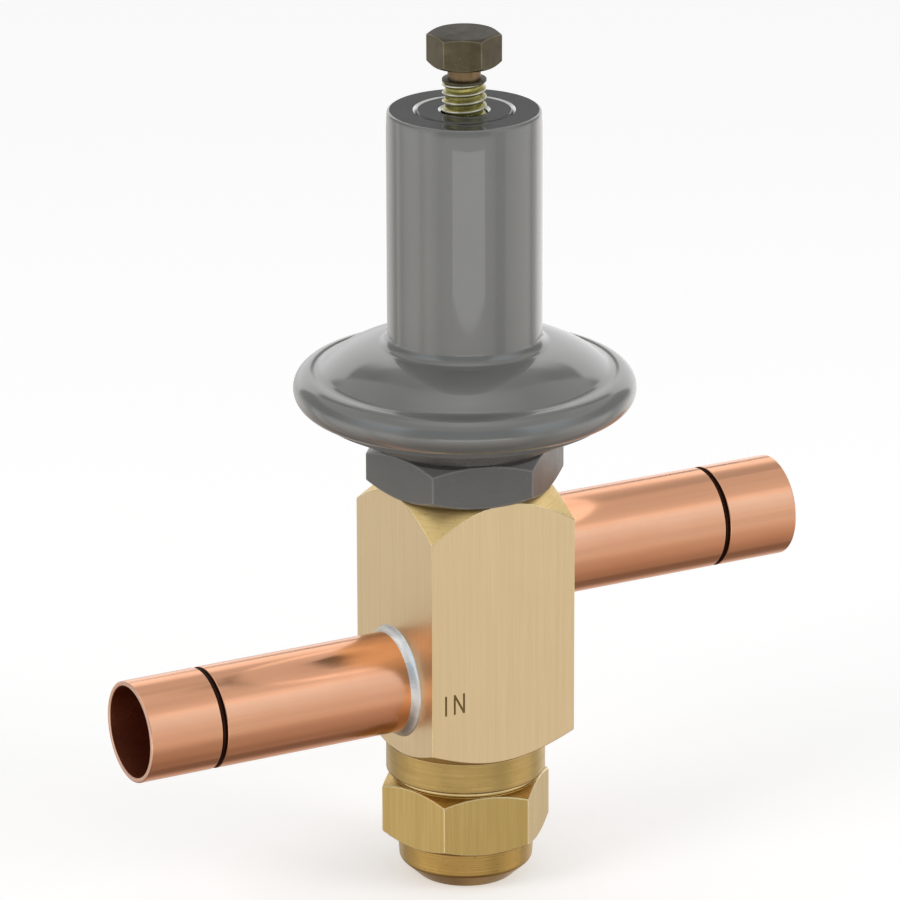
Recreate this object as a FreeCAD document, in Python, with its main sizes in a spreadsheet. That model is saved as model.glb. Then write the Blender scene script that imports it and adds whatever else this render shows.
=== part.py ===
# Crankcase pressure regulator valve with solder tubes, an adjusting screw and a diaphragm head.
# Millimetres. The origin is the centre of the plug's end face, +Z runs up the valve's axis,
# the inlet tube points to -X and the outlet tube to +X.

import FreeCAD, Part
import math
import os
import re
import Sketcher

from FreeCAD import Placement, Rotation, Vector

# Driving sizes, each with its own cell in the sheet.
SIZES = {
    # bottom plug, turned from hexagon bar
    "plug_end_radius": 8.45,
    "plug_nose_radius": 11.7,
    "plug_nose_height": 3.0,
    "plug_boss_radius": 12.0,
    "plug_boss_height": 7.5,
    "plug_across_flats": 26.4,
    "plug_hex_height": 11.0,
    "plug_hex_turn": 47.6,
    "plug_spigot_length": 8.5,
    "plug_floor_thickness": 12.0,
    "plug_gasket_radius": 13.0,
    "plug_gasket_thickness": 1.0,
    # square body
    "body_width": 28.0,
    "body_height": 52.95,
    "neck_radius": 13.95,
    "neck_length": 5.6,
    "lower_cone_angle": 30.0,
    "upper_land_radius": 13.9,
    "upper_cone_angle": 41.5,
    "chamber_radius": 10.0,
    "inlet_rise": 18.5,
    "outlet_drop": 14.8,
    "passage_radius": 7.9,
    "passage_margin": 0.1,
    # solder tubes
    "tube_radius": 8.85,
    "tube_wall": 0.87,
    "tube_seat_depth": 3.2,
    "inlet_reach": 64.9,
    "outlet_reach": 61.7,
    "tube_edge_round": 0.3,
    "stop_distance": 13.9,
    "stop_width": 1.1,
    "stop_depth": 0.65,
    "braze_fillet": 1.2,
    # seat ring
    "seat_sleeve_radius": 8.3,
    "seat_bore_radius": 6.6,
    "seat_flange_radius": 9.4,
    "seat_flange_thickness": 1.2,
    "seat_lip_width": 0.8,
    "seat_lip_height": 0.28,
    # piston with its disc seal
    "valve_stroke": 2.5,
    "closing_gap": 0.02,
    "piston_radius": 9.0,
    "piston_head_thickness": 2.5,
    "piston_cup_height": 1.2,
    "piston_guide_radius": 6.0,
    "piston_guide_clearance": 0.05,
    "piston_floor_clearance": 0.1,
    "piston_bore_radius": 2.5,
    "piston_web": 3.5,
    "piston_vent_radius": 1.0,
    "stud_radius": 3.0,
    "stud_length": 3.4,
    "seal_radius": 8.4,
    "seal_thickness": 2.0,
    "retainer_radius": 5.2,
    "retainer_thickness": 1.0,
    # push rod with its bush and thrust pad
    "rod_radius": 2.0,
    "rod_clearance": 0.03,
    "rod_socket_depth": 6.9,
    "bush_radius": 4.0,
    "bush_length": 7.0,
    "bush_flange_radius": 4.9,
    "bush_flange_thickness": 1.0,
    "pad_radius": 10.0,
    "pad_thickness": 2.0,
    "pad_hub_radius": 4.2,
    "pad_hub_length": 3.6,
    "pad_socket_depth": 4.2,
    # hexagonal adapter between body and diaphragm head
    "adapter_across_flats": 30.3,
    "adapter_hex_height": 7.75,
    "adapter_hex_turn": 43.4,
    "adapter_spigot_radius": 11.0,
    "adapter_spigot_length": 4.6,
    "adapter_recess_radius": 8.5,
    "adapter_recess_depth": 5.65,
    "adapter_web": 5.0,
    "adapter_collar_radius": 10.5,
    "adapter_collar_height": 3.3,
    "adapter_gasket_thickness": 0.8,
    "adapter_gasket_bore": 8.6,
    "balance_hole_radius": 1.2,
    "balance_hole_circle": 6.4,
    "balance_hole_count": 6,
    "hex_chamfer_angle": 30.0,
    # diaphragm head
    "rim_rise": 9.55,
    "rim_centre_radius": 26.38,
    "rim_tube_radius": 3.2,
    "rim_sheet": 1.6,
    "rim_crown": 1.85,
    "rim_lip_inset": 1.08,
    "rim_seat_width": 1.02,
    "casing_foot_radius": 15.2,
    "casing_cone_angle": 27.0,
    "casing_thickness": 2.8,
    "casing_mouth_radius": 23.0,
    "diaphragm_thickness": 0.4,
    "diaphragm_drop": 0.95,
    "diaphragm_flat_radius": 12.6,
    "diaphragm_wave_width": 1.7,
    "diaphragm_wave_height": 0.45,
    "buffer_radius": 12.4,
    "buffer_thickness": 2.25,
    "spring_spigot_radius": 6.3,
    "spring_spigot_length": 4.0,
    # spring housing, drawn in one piece with the rolled rim
    "housing_radius": 13.33,
    "housing_wall": 1.8,
    "housing_height": 49.5,
    "housing_roof": 3.0,
    "housing_edge_round": 0.5,
    "dome_rise": 8.7,
    "dome_radius": 36.0,
    "dome_start_angle": 26.0,
    "dome_fillet": 1.5,
    "groove_inset": 3.78,
    "groove_rise": 2.88,
    "groove_radius": 1.73,
    "groove_angle": 32.0,
    # threaded bush in the housing's roof
    "nut_radius": 8.1,
    "nut_collar_radius": 10.0,
    "nut_collar_height": 4.0,
    "nut_mouth_radius": 4.25,
    "nut_mouth_depth": 1.35,
    "nut_edge": 0.4,
    "thread_clearance": 0.05,
    # adjusting screw
    "head_across_flats": 11.2,
    "head_height": 5.7,
    "head_rise": 7.95,
    "head_hex_turn": 29.0,
    "head_top_radius": 5.5,
    "head_foot_radius": 5.45,
    "screw_undercut_radius": 2.83,
    "screw_undercut_length": 2.4,
    "screw_radius": 3.8,
    "screw_point_radius": 2.6,
    "screw_point_length": 1.6,
    "screw_point_clearance": 0.05,
    # range spring and its upper seat
    "range_spring_length": 28.1,
    "range_wire_radius": 1.3,
    "range_coil_radius": 7.9,
    "range_spring_turns": 6.0,
    "spring_seat_radius": 10.8,
    "spring_seat_thickness": 3.5,
    "spring_seat_socket_depth": 1.5,
    "edge_break": 0.4,
    # return spring under the piston head
    "return_wire_radius": 0.65,
    "return_coil_radius": 7.4,
    "return_spring_turns": 5.0,
}

# Heights and radii that follow from the driving sizes, in an order where each uses earlier ones.
LEVELS = {
    "plug_shoulder": "plug_boss_height + plug_hex_height",
    "plug_corner_radius": "plug_across_flats / 2 / cos(30)",
    "plug_chamfer": "(plug_corner_radius - plug_across_flats / 2) * tan(hex_chamfer_angle)",
    "spigot_top": "plug_shoulder + plug_spigot_length",
    "guide_bore_radius": "piston_guide_radius + piston_guide_clearance",
    "neck_base": "plug_shoulder + plug_gasket_thickness",
    "neck_top": "neck_base + neck_length",
    "body_top": "neck_base + body_height",
    "body_corner_radius": "body_width / 2 / cos(45)",
    "lower_corner": "neck_top + (body_corner_radius - neck_radius) * tan(lower_cone_angle)",
    "upper_corner": "body_top - (body_corner_radius - upper_land_radius) * tan(upper_cone_angle)",
    "inlet_axis": "neck_base + inlet_rise",
    "outlet_axis": "body_top - outlet_drop",
    "wall_base": "inlet_axis + passage_radius + passage_margin",
    "wall_top": "outlet_axis - passage_radius - passage_margin",
    "seat_flange_base": "wall_base - seat_flange_thickness",
    "seat_lip": "seat_flange_base - seat_lip_height",
    "seal_top": "seat_lip - closing_gap - valve_stroke",
    "seal_base": "seal_top - seal_thickness",
    "piston_head_base": "seal_base - piston_head_thickness",
    "piston_foot": "plug_floor_thickness + piston_floor_clearance",
    "stud_top": "seal_base + stud_length",
    "rod_foot": "stud_top - rod_socket_depth",
    "spigot_base": "body_top - adapter_spigot_length",
    "adapter_shelf": "spigot_base - adapter_gasket_thickness",
    "adapter_top": "body_top + adapter_hex_height",
    "adapter_corner_radius": "adapter_across_flats / 2 / cos(30)",
    "adapter_chamfer": "(adapter_corner_radius - adapter_across_flats / 2) * tan(hex_chamfer_angle)",
    "web_base": "spigot_base + adapter_recess_depth",
    "web_top": "web_base + adapter_web",
    "collar_top": "adapter_top + adapter_collar_height",
    "rim_axis": "adapter_top + rim_rise",
    "clamp_top": "rim_axis + rim_tube_radius - rim_crown",
    "clamp_base": "clamp_top - diaphragm_thickness",
    "lip_top": "rim_axis - rim_tube_radius + rim_sheet",
    "lip_radius": "rim_centre_radius - rim_lip_inset",
    "edge_radius": "rim_centre_radius + rim_seat_width",
    "casing_rise": "casing_thickness / cos(casing_cone_angle)",
    "diaphragm_base": "clamp_base - diaphragm_drop",
    "diaphragm_crown": "diaphragm_base + diaphragm_thickness",
    "pad_base": "diaphragm_base - pad_thickness",
    "rod_top": "pad_base - pad_hub_length + pad_socket_depth",
    "buffer_top": "diaphragm_crown + buffer_thickness",
    "dome_start": "rim_axis + dome_rise",
    "dome_start_radius": "housing_radius + dome_fillet * (1 - sin(dome_start_angle))",
    "dome_end_radius": "rim_centre_radius - groove_inset",
    "housing_top": "rim_axis + housing_height",
    "roof_base": "housing_top - housing_roof",
    "housing_bore": "housing_radius - housing_wall",
    "nut_base": "roof_base - nut_collar_height",
    "head_base": "housing_top + head_rise",
    "head_top": "head_base + head_height",
    "head_corner_radius": "head_across_flats / 2 / cos(30)",
    "undercut_base": "head_base - screw_undercut_length",
    "spring_top": "buffer_top + range_spring_length",
    "spring_seat_top": "spring_top + spring_seat_thickness",
    "spring_seat_floor": "spring_seat_top - spring_seat_socket_depth",
    "screw_tip": "spring_seat_floor + screw_point_clearance",
    "screw_shoulder": "screw_tip + screw_point_length",
}

doc = FreeCAD.newDocument("crankcase_pressure_regulator")
sizes = doc.addObject("Spreadsheet::Sheet", "Sizes")
levels = doc.addObject("Spreadsheet::Sheet", "Levels")
PARTS = {}


def bind(text):
    """Write a formula's plain words as cells of the two sheets."""
    def cell(match):
        word = match.group(0)
        if word in SIZES:
            return "Sizes." + word
        if word in LEVELS:
            return "Levels." + word
        return word
    return re.sub(r"[a-z_]+", cell, text)


def fill_sheets():
    for row, (name, number) in enumerate(SIZES.items(), start=1):
        sizes.set(f"A{row}", name)
        sizes.set(f"B{row}", str(number))
        sizes.setAlias(f"B{row}", name)
    doc.recompute()
    for row, (name, formula) in enumerate(LEVELS.items(), start=1):
        levels.set(f"A{row}", name)
        levels.set(f"B{row}", "=" + bind(formula))
        levels.setAlias(f"B{row}", name)
    doc.recompute()


def value(text):
    """The present value of a formula, in millimetres or degrees."""
    result = sizes.evalExpression(bind(text))
    return float(getattr(result, "Value", result))


def origin_plane(body, role):
    return next(item for item in body.Origin.OriginFeatures if item.Role == role)


def arc_between(start, end, radius, turn, long_way):
    """An arc from start to end; turn is +1 for anticlockwise. Gives the arc and its first end."""
    across = end - start
    half = across.Length / 2
    height = math.sqrt(max(radius * radius - half * half, 0.0))
    side = Vector(-across.y, across.x, 0).normalize()
    if long_way:
        height = -height
    centre = (start + end) * 0.5 + side * height * turn
    first, last = (start, end) if turn > 0 else (end, start)
    a = math.atan2(first.y - centre.y, first.x - centre.x)
    b = math.atan2(last.y - centre.y, last.x - centre.x)
    circle = Part.Circle(centre, Vector(0, 0, 1), radius)
    return Part.ArcOfCircle(circle, a, b if b > a else b + 2 * math.pi)


def draw_outline(sketch, outline):
    """Closed outline of lines and arcs. A point is (x, y), or (x, y, radius, turn[, "long"])
    where an arc leads on from it; every coordinate and radius is bound to the sheets."""
    points = [Vector(value(item[0]), value(item[1]), 0) for item in outline]
    ends = []
    for index, item in enumerate(outline):
        start = points[index]
        end = points[(index + 1) % len(points)]
        if len(item) == 2:
            geometry = sketch.addGeometry(Part.LineSegment(start, end), False)
            ends.append((geometry, 1, 2))
            continue
        arc = arc_between(start, end, value(item[2]), item[3], len(item) == 5)
        geometry = sketch.addGeometry(arc, False)
        ends.append((geometry, 1, 2) if item[3] > 0 else (geometry, 2, 1))
        radius = sketch.addConstraint(Sketcher.Constraint("Radius", geometry, value(item[2])))
        sketch.setExpression(f"Constraints[{radius}]", bind(item[2]))
    for index, item in enumerate(outline):
        geometry, first, _ = ends[index]
        before, _, last = ends[index - 1]
        sketch.addConstraint(Sketcher.Constraint("Coincident", before, last, geometry, first))
        for text, kind, line in ((item[0], "DistanceX", -2), (item[1], "DistanceY", -1)):
            if text == "0":
                sketch.addConstraint(Sketcher.Constraint("PointOnObject", geometry, first, line))
                continue
            number = sketch.addConstraint(
                Sketcher.Constraint(kind, -1, 1, geometry, first, value(text)))
            sketch.setExpression(f"Constraints[{number}]", bind(text))


def turned(name, outline, axis="V_Axis"):
    """A lathe-turned body: the outline spun about the sketch's upright or level axis."""
    body = doc.addObject("PartDesign::Body", name)
    sketch = body.newObject("Sketcher::SketchObject", name + "_outline")
    sketch.AttachmentSupport = (origin_plane(body, "XZ_Plane"), [""])
    sketch.MapMode = "FlatFace"
    draw_outline(sketch, outline)
    spin = body.newObject("PartDesign::Revolution", name + "_spin")
    spin.Profile = sketch
    spin.ReferenceAxis = (sketch, [axis])
    spin.Angle = 360.0
    doc.recompute()
    return body


def cylinder(name, radius, height, place):
    piece = doc.addObject("Part::Cylinder", name)
    piece.setExpression("Radius", bind(radius))
    piece.setExpression("Height", bind(height))
    piece.Placement = place
    return piece


def raise_to(piece, height):
    piece.setExpression("Placement.Base.z", bind(height))


def boolean(kind, name, base, tool):
    piece = doc.addObject("Part::" + kind, name)
    piece.Base = base
    piece.Tool = tool
    doc.recompute()
    return piece


def finished(node, piece):
    """Give a finished piece its node's name as Label and keep it for the export."""
    for other in doc.Objects:
        if other.Label == node and other is not piece:
            other.Label = node + " stock"
    piece.Label = node
    PARTS[node] = piece


def from_hexagon_bar(node, outline, across_flats, turn, height):
    """Turned stock cut to the flats of a hexagon bar."""
    stock = turned(node + "_stock", outline)
    bar = doc.addObject("Part::Prism", node + "_bar")
    bar.Polygon = 6
    bar.setExpression("Circumradius", bind(across_flats + " / 2 / cos(30)"))
    bar.setExpression("Height", bind(height))
    bar.Placement = Placement(Vector(0, 0, 0), Rotation(Vector(0, 0, 1), value(turn)))
    return boolean("Common", node + "_hexagon", stock, bar)


def bottom_plug():
    return from_hexagon_bar("bottom_plug", [
        ("0", "0"),
        ("plug_end_radius", "0"),
        ("plug_nose_radius", "plug_nose_height"),
        ("plug_boss_radius", "plug_boss_height"),
        ("plug_across_flats / 2", "plug_boss_height"),
        ("plug_corner_radius", "plug_boss_height + plug_chamfer"),
        ("plug_corner_radius", "plug_shoulder - plug_chamfer"),
        ("plug_across_flats / 2", "plug_shoulder"),
        ("chamber_radius", "plug_shoulder"),
        ("chamber_radius", "spigot_top - edge_break"),
        ("chamber_radius - edge_break", "spigot_top"),
        ("guide_bore_radius", "spigot_top"),
        ("guide_bore_radius", "plug_floor_thickness"),
        ("0", "plug_floor_thickness"),
    ], "plug_across_flats", "plug_hex_turn", "spigot_top")


def ring(name, inner, outer, base, top):
    return turned(name, [(inner, base), (outer, base), (outer, top), (inner, top)])


def valve_body():
    stock = turned("valve_body_stock", [
        ("chamber_radius", "neck_base"),
        ("neck_radius", "neck_base"),
        ("neck_radius", "neck_top"),
        ("body_corner_radius", "lower_corner"),
        ("body_corner_radius", "upper_corner"),
        ("upper_land_radius", "body_top"),
        ("adapter_spigot_radius", "body_top"),
        ("adapter_spigot_radius", "adapter_shelf"),
        ("chamber_radius", "adapter_shelf"),
        ("chamber_radius", "wall_top"),
        ("seat_sleeve_radius", "wall_top"),
        ("seat_sleeve_radius", "wall_base"),
        ("chamber_radius", "wall_base"),
    ])
    bar = doc.addObject("Part::Box", "valve_body_bar")
    for side in ("Length", "Width"):
        bar.setExpression(side, bind("body_width"))
    bar.setExpression("Height", bind("body_top"))
    for side in ("x", "y"):
        bar.setExpression("Placement.Base." + side, bind("-body_width / 2"))
    doc.recompute()
    piece = boolean("Common", "valve_body_square", stock, bar)
    for side, turn, height in (("inlet", -90, "inlet_axis"), ("outlet", 90, "outlet_axis")):
        across = Rotation(Vector(0, 1, 0), turn)
        passage = cylinder(side + "_passage", "passage_radius", "body_width / 2",
                           Placement(Vector(0, 0, 0), across))
        raise_to(passage, height)
        socket = cylinder(side + "_counterbore", "tube_radius", "tube_seat_depth",
                          Placement(Vector(0, 0, 0), across))
        raise_to(socket, height)
        mouth = "tube_seat_depth - body_width / 2" if turn < 0 else "body_width / 2 - tube_seat_depth"
        socket.setExpression("Placement.Base.x", bind(mouth))
        piece = boolean("Cut", f"valve_body_{side}_bored", piece, passage)
        piece = boolean("Cut", f"valve_body_{side}_sunk", piece, socket)
    return piece


def solder_tube(side, reach, height, turn):
    """A tube with a rolled groove that stops the pipe; the bore beyond it is the pipe's socket."""
    middle = f"({reach} - stop_distance)"
    bore = "tube_radius - tube_wall"
    tube = turned(side + "_tube", [
        ("body_width / 2 - tube_seat_depth", bore),
        (f"{middle} - stop_width / 2 - stop_depth", bore),
        (f"{middle} - stop_width / 4", f"{bore} - stop_depth"),
        (f"{middle} + stop_width / 4", f"{bore} - stop_depth"),
        (f"{middle} + stop_width / 2 + stop_depth", bore),
        (reach + " - tube_edge_round", bore),
        (reach, bore + " + tube_edge_round"),
        (reach, "tube_radius - tube_edge_round", "tube_edge_round", 1),
        (reach + " - tube_edge_round", "tube_radius"),
        (f"{middle} + stop_width / 2", "tube_radius"),
        (f"{middle} + stop_width / 4", "tube_radius - stop_depth"),
        (f"{middle} - stop_width / 4", "tube_radius - stop_depth"),
        (f"{middle} - stop_width / 2", "tube_radius"),
        ("body_width / 2 - tube_seat_depth", "tube_radius"),
    ], "H_Axis")
    braze = turned(side + "_braze_ring", [
        ("body_width / 2", "tube_radius"),
        ("body_width / 2 + braze_fillet", "tube_radius", "braze_fillet * 1.35", -1),
        ("body_width / 2", "tube_radius + braze_fillet"),
    ], "H_Axis")
    for piece in (tube, braze):
        piece.Placement = Placement(Vector(0, 0, 0), Rotation(Vector(0, 0, 1), turn))
        raise_to(piece, height)
    finished(side + "_tube", tube)
    finished(side + "_braze_ring", braze)


def seat_ring():
    return turned("seat_ring", [
        ("seat_bore_radius", "seat_lip"),
        ("seat_bore_radius + seat_lip_width", "seat_lip"),
        ("seat_bore_radius + seat_lip_width + seat_lip_height", "seat_flange_base"),
        ("seat_flange_radius", "seat_flange_base"),
        ("seat_flange_radius", "wall_base"),
        ("seat_sleeve_radius", "wall_base"),
        ("seat_sleeve_radius", "wall_top"),
        ("seat_bore_radius + edge_break", "wall_top"),
        ("seat_bore_radius", "wall_top - edge_break"),
    ])


def valve_piston():
    stock = turned("valve_piston_stock", [
        ("piston_bore_radius", "piston_foot"),
        ("piston_guide_radius - edge_break", "piston_foot"),
        ("piston_guide_radius", "piston_foot + edge_break"),
        ("piston_guide_radius", "piston_head_base"),
        ("piston_radius - edge_break", "piston_head_base"),
        ("piston_radius", "piston_head_base + edge_break"),
        ("piston_radius", "seal_base + piston_cup_height"),
        ("seal_radius", "seal_base + piston_cup_height"),
        ("seal_radius", "seal_base"),
        ("stud_radius", "seal_base"),
        ("stud_radius", "stud_top"),
        ("rod_radius", "stud_top"),
        ("rod_radius", "rod_foot"),
        ("0", "rod_foot"),
        ("0", "rod_foot - piston_web"),
        ("piston_bore_radius", "rod_foot - piston_web"),
    ])
    vent = cylinder("piston_vent", "piston_vent_radius", "piston_radius * 2",
                    Placement(Vector(0, 0, 0), Rotation(Vector(1, 0, 0), 90)))
    vent.setExpression("Placement.Base.y", bind("piston_radius"))
    raise_to(vent, "rod_foot - piston_web - piston_vent_radius * 2")
    return boolean("Cut", "valve_piston_vented", stock, vent)


def coil_spring(node, coil_radius, wire_radius, turns, base, top):
    """A round-wire spring with both ends ground flat."""
    body = doc.addObject("PartDesign::Body", node + "_wire")
    sketch = body.newObject("Sketcher::SketchObject", node + "_section")
    sketch.AttachmentSupport = (origin_plane(body, "XZ_Plane"), [""])
    sketch.MapMode = "FlatFace"
    radius = value(wire_radius)
    centre = Vector(value(coil_radius), value(base), 0)
    circle = sketch.addGeometry(Part.Circle(centre, Vector(0, 0, 1), radius), False)
    for kind, text, number in (("Radius", wire_radius, radius),
                               ("DistanceX", coil_radius, centre.x),
                               ("DistanceY", base, centre.y)):
        if kind == "Radius":
            rule = Sketcher.Constraint(kind, circle, number)
        else:
            rule = Sketcher.Constraint(kind, -1, 1, circle, 3, number)
        index = sketch.addConstraint(rule)
        sketch.setExpression(f"Constraints[{index}]", bind(text))
    coil = body.newObject("PartDesign::AdditiveHelix", node + "_helix")
    coil.Profile = sketch
    coil.ReferenceAxis = (sketch, ["V_Axis"])
    coil.Mode = "height-turns-angle"
    coil.setExpression("Height", bind(f"{top} - ({base})"))
    coil.setExpression("Turns", bind(turns))
    doc.recompute()
    grinding = cylinder(node + "_ground_length", f"{coil_radius} + {wire_radius} * 2",
                        f"{top} - ({base})", Placement())
    raise_to(grinding, base)
    return boolean("Common", node + "_ground", body, grinding)


def push_rod():
    return turned("push_rod", [
        ("0", "rod_foot"),
        ("rod_radius - edge_break", "rod_foot"),
        ("rod_radius", "rod_foot + edge_break"),
        ("rod_radius", "rod_top - edge_break"),
        ("rod_radius - edge_break", "rod_top"),
        ("0", "rod_top"),
    ])


def thrust_pad():
    return turned("thrust_pad", [
        ("rod_radius", "pad_base - pad_hub_length"),
        ("pad_hub_radius - edge_break", "pad_base - pad_hub_length"),
        ("pad_hub_radius", "pad_base - pad_hub_length + edge_break"),
        ("pad_hub_radius", "pad_base"),
        ("pad_radius - edge_break", "pad_base"),
        ("pad_radius", "pad_base + edge_break"),
        ("pad_radius", "diaphragm_base - edge_break"),
        ("pad_radius - edge_break", "diaphragm_base"),
        ("0", "diaphragm_base"),
        ("0", "rod_top"),
        ("rod_radius", "rod_top"),
    ])


def rod_guide_bush():
    return turned("rod_guide_bush", [
        ("rod_radius + rod_clearance", "web_top - bush_length"),
        ("bush_radius - edge_break", "web_top - bush_length"),
        ("bush_radius", "web_top - bush_length + edge_break"),
        ("bush_radius", "web_top"),
        ("bush_flange_radius", "web_top"),
        ("bush_flange_radius", "web_top + bush_flange_thickness"),
        ("rod_radius + rod_clearance", "web_top + bush_flange_thickness"),
    ])


def hex_adapter():
    piece = from_hexagon_bar("hex_adapter", [
        ("adapter_recess_radius", "spigot_base"),
        ("adapter_spigot_radius - edge_break", "spigot_base"),
        ("adapter_spigot_radius", "spigot_base + edge_break"),
        ("adapter_spigot_radius", "body_top"),
        ("adapter_across_flats / 2", "body_top"),
        ("adapter_corner_radius", "body_top + adapter_chamfer"),
        ("adapter_corner_radius", "adapter_top - adapter_chamfer"),
        ("adapter_across_flats / 2", "adapter_top"),
        ("adapter_collar_radius", "adapter_top"),
        ("adapter_collar_radius", "collar_top"),
        ("adapter_recess_radius", "collar_top"),
        ("adapter_recess_radius", "web_top"),
        ("bush_radius", "web_top"),
        ("bush_radius", "web_base"),
        ("adapter_recess_radius", "web_base"),
    ], "adapter_across_flats", "adapter_hex_turn", "collar_top")
    count = round(value("balance_hole_count"))
    for index in range(count):
        angle = 360.0 * index / count
        hole = cylinder(f"balance_hole_{index + 1}", "balance_hole_radius", "adapter_web * 3", Placement())
        hole.setExpression("Placement.Base.x", bind(f"balance_hole_circle * cos({angle})"))
        hole.setExpression("Placement.Base.y", bind(f"balance_hole_circle * sin({angle})"))
        raise_to(hole, "web_base - adapter_web")
        piece = boolean("Cut", f"hex_adapter_drilled_{index + 1}", piece, hole)
    return piece


def lower_casing():
    slope = "tan(casing_cone_angle)"
    return turned("lower_casing", [
        ("adapter_collar_radius", "adapter_top"),
        ("casing_foot_radius", "adapter_top"),
        ("lip_radius", f"adapter_top + (lip_radius - casing_foot_radius) * {slope}"),
        ("lip_radius", "lip_top"),
        ("edge_radius", "lip_top"),
        ("edge_radius", "clamp_base"),
        ("casing_mouth_radius", "clamp_base"),
        ("casing_mouth_radius",
         f"adapter_top + casing_rise + (casing_mouth_radius - casing_foot_radius) * {slope}"),
        (f"casing_foot_radius + (casing_thickness - casing_rise) / {slope}",
         "adapter_top + casing_thickness"),
        ("adapter_collar_radius", "adapter_top + casing_thickness"),
    ])


def diaphragm():
    """A thin disc with rolled waves between its flat middle and its clamped edge."""
    waves = 2
    span = "(casing_mouth_radius - edge_break - diaphragm_flat_radius)"
    low = []
    for index in range(2 * waves + 1):
        radius = f"diaphragm_flat_radius + {span} * {index} / {2 * waves + 1}"
        lift = "0" if index % 2 == 0 else "diaphragm_wave_height"
        rise = f"diaphragm_drop * {index} / {2 * waves + 1}"
        low.append((radius, f"diaphragm_base + {rise} + {lift}"))
    low.append(("casing_mouth_radius - edge_break", "clamp_base"))
    lower = [("0", "diaphragm_base")] + low + [("edge_radius", "clamp_base")]
    upper = [(radius, f"{height} + diaphragm_thickness") for radius, height in reversed(lower)]
    return turned("diaphragm", lower + upper)


def buffer_plate():
    return turned("buffer_plate", [
        ("0", "diaphragm_crown"),
        ("buffer_radius - edge_break", "diaphragm_crown"),
        ("buffer_radius", "diaphragm_crown + edge_break"),
        ("buffer_radius", "buffer_top - edge_break"),
        ("buffer_radius - edge_break", "buffer_top"),
        ("spring_spigot_radius", "buffer_top"),
        ("spring_spigot_radius", "buffer_top + spring_spigot_length - edge_break"),
        ("spring_spigot_radius - edge_break", "buffer_top + spring_spigot_length"),
        ("0", "buffer_top + spring_spigot_length"),
    ])


def upper_spring_seat():
    return turned("upper_spring_seat", [
        ("0", "spring_top - spring_spigot_length"),
        ("spring_spigot_radius - edge_break", "spring_top - spring_spigot_length"),
        ("spring_spigot_radius", "spring_top - spring_spigot_length + edge_break"),
        ("spring_spigot_radius", "spring_top"),
        ("spring_seat_radius - edge_break", "spring_top"),
        ("spring_seat_radius", "spring_top + edge_break"),
        ("spring_seat_radius", "spring_seat_top - edge_break"),
        ("spring_seat_radius - edge_break", "spring_seat_top"),
        ("screw_point_radius + screw_point_clearance", "spring_seat_top"),
        ("screw_point_radius + screw_point_clearance", "spring_seat_floor"),
        ("0", "spring_seat_floor"),
    ])


def spring_housing():
    """The drawn shell: tall cylinder, bell-shaped dome and the rim rolled round the casing's edge."""
    return turned("spring_housing", [
        ("nut_radius + nut_edge", "housing_top"),
        ("housing_radius - housing_edge_round", "housing_top", "housing_edge_round", -1),
        ("housing_radius", "housing_top - housing_edge_round"),
        ("housing_radius", "dome_start + dome_fillet * cos(dome_start_angle)", "dome_fillet", 1),
        ("dome_start_radius", "dome_start", "dome_radius", -1),
        ("dome_end_radius", "rim_axis + groove_rise", "groove_radius", 1),
        ("rim_centre_radius - rim_tube_radius * sin(groove_angle)",
         "rim_axis + rim_tube_radius * cos(groove_angle)", "rim_tube_radius", -1, "long"),
        ("rim_centre_radius", "rim_axis - rim_tube_radius"),
        ("lip_radius", "rim_axis - rim_tube_radius"),
        ("lip_radius", "lip_top"),
        ("edge_radius", "lip_top"),
        ("edge_radius", "clamp_top"),
        ("dome_end_radius - rim_sheet / 2", "clamp_top"),
        ("housing_bore + housing_wall / 2", "dome_start - rim_sheet / 1.4"),
        ("housing_bore", "dome_start"),
        ("housing_bore", "roof_base"),
        ("nut_radius", "roof_base"),
        ("nut_radius", "housing_top - nut_edge"),
    ])


def threaded_bush():
    return turned("threaded_bush", [
        ("screw_radius + thread_clearance", "nut_base"),
        ("nut_collar_radius - edge_break", "nut_base"),
        ("nut_collar_radius", "nut_base + edge_break"),
        ("nut_collar_radius", "roof_base"),
        ("nut_radius", "roof_base"),
        ("nut_radius", "housing_top - nut_edge"),
        ("nut_radius - nut_edge", "housing_top"),
        ("nut_mouth_radius + nut_edge", "housing_top"),
        ("nut_mouth_radius", "housing_top - nut_edge"),
        ("nut_mouth_radius", "housing_top - nut_mouth_depth"),
        ("screw_radius + thread_clearance", "housing_top - nut_mouth_depth"),
    ])


def adjusting_screw():
    chamfer = "tan(hex_chamfer_angle)"
    return from_hexagon_bar("adjusting_screw", [
        ("0", "screw_tip"),
        ("screw_point_radius - edge_break", "screw_tip"),
        ("screw_point_radius", "screw_tip + edge_break"),
        ("screw_point_radius", "screw_shoulder"),
        ("screw_radius", "screw_shoulder + screw_radius - screw_point_radius"),
        ("screw_radius", "undercut_base - edge_break"),
        ("screw_radius - edge_break", "undercut_base"),
        ("screw_undercut_radius", "undercut_base"),
        ("screw_undercut_radius", "head_base"),
        ("head_foot_radius", "head_base"),
        ("head_corner_radius", f"head_base + (head_corner_radius - head_foot_radius) * {chamfer}"),
        ("head_corner_radius", f"head_top - (head_corner_radius - head_top_radius) * {chamfer}"),
        ("head_top_radius", "head_top"),
        ("0", "head_top"),
    ], "head_across_flats", "head_hex_turn", "head_top")


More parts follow.
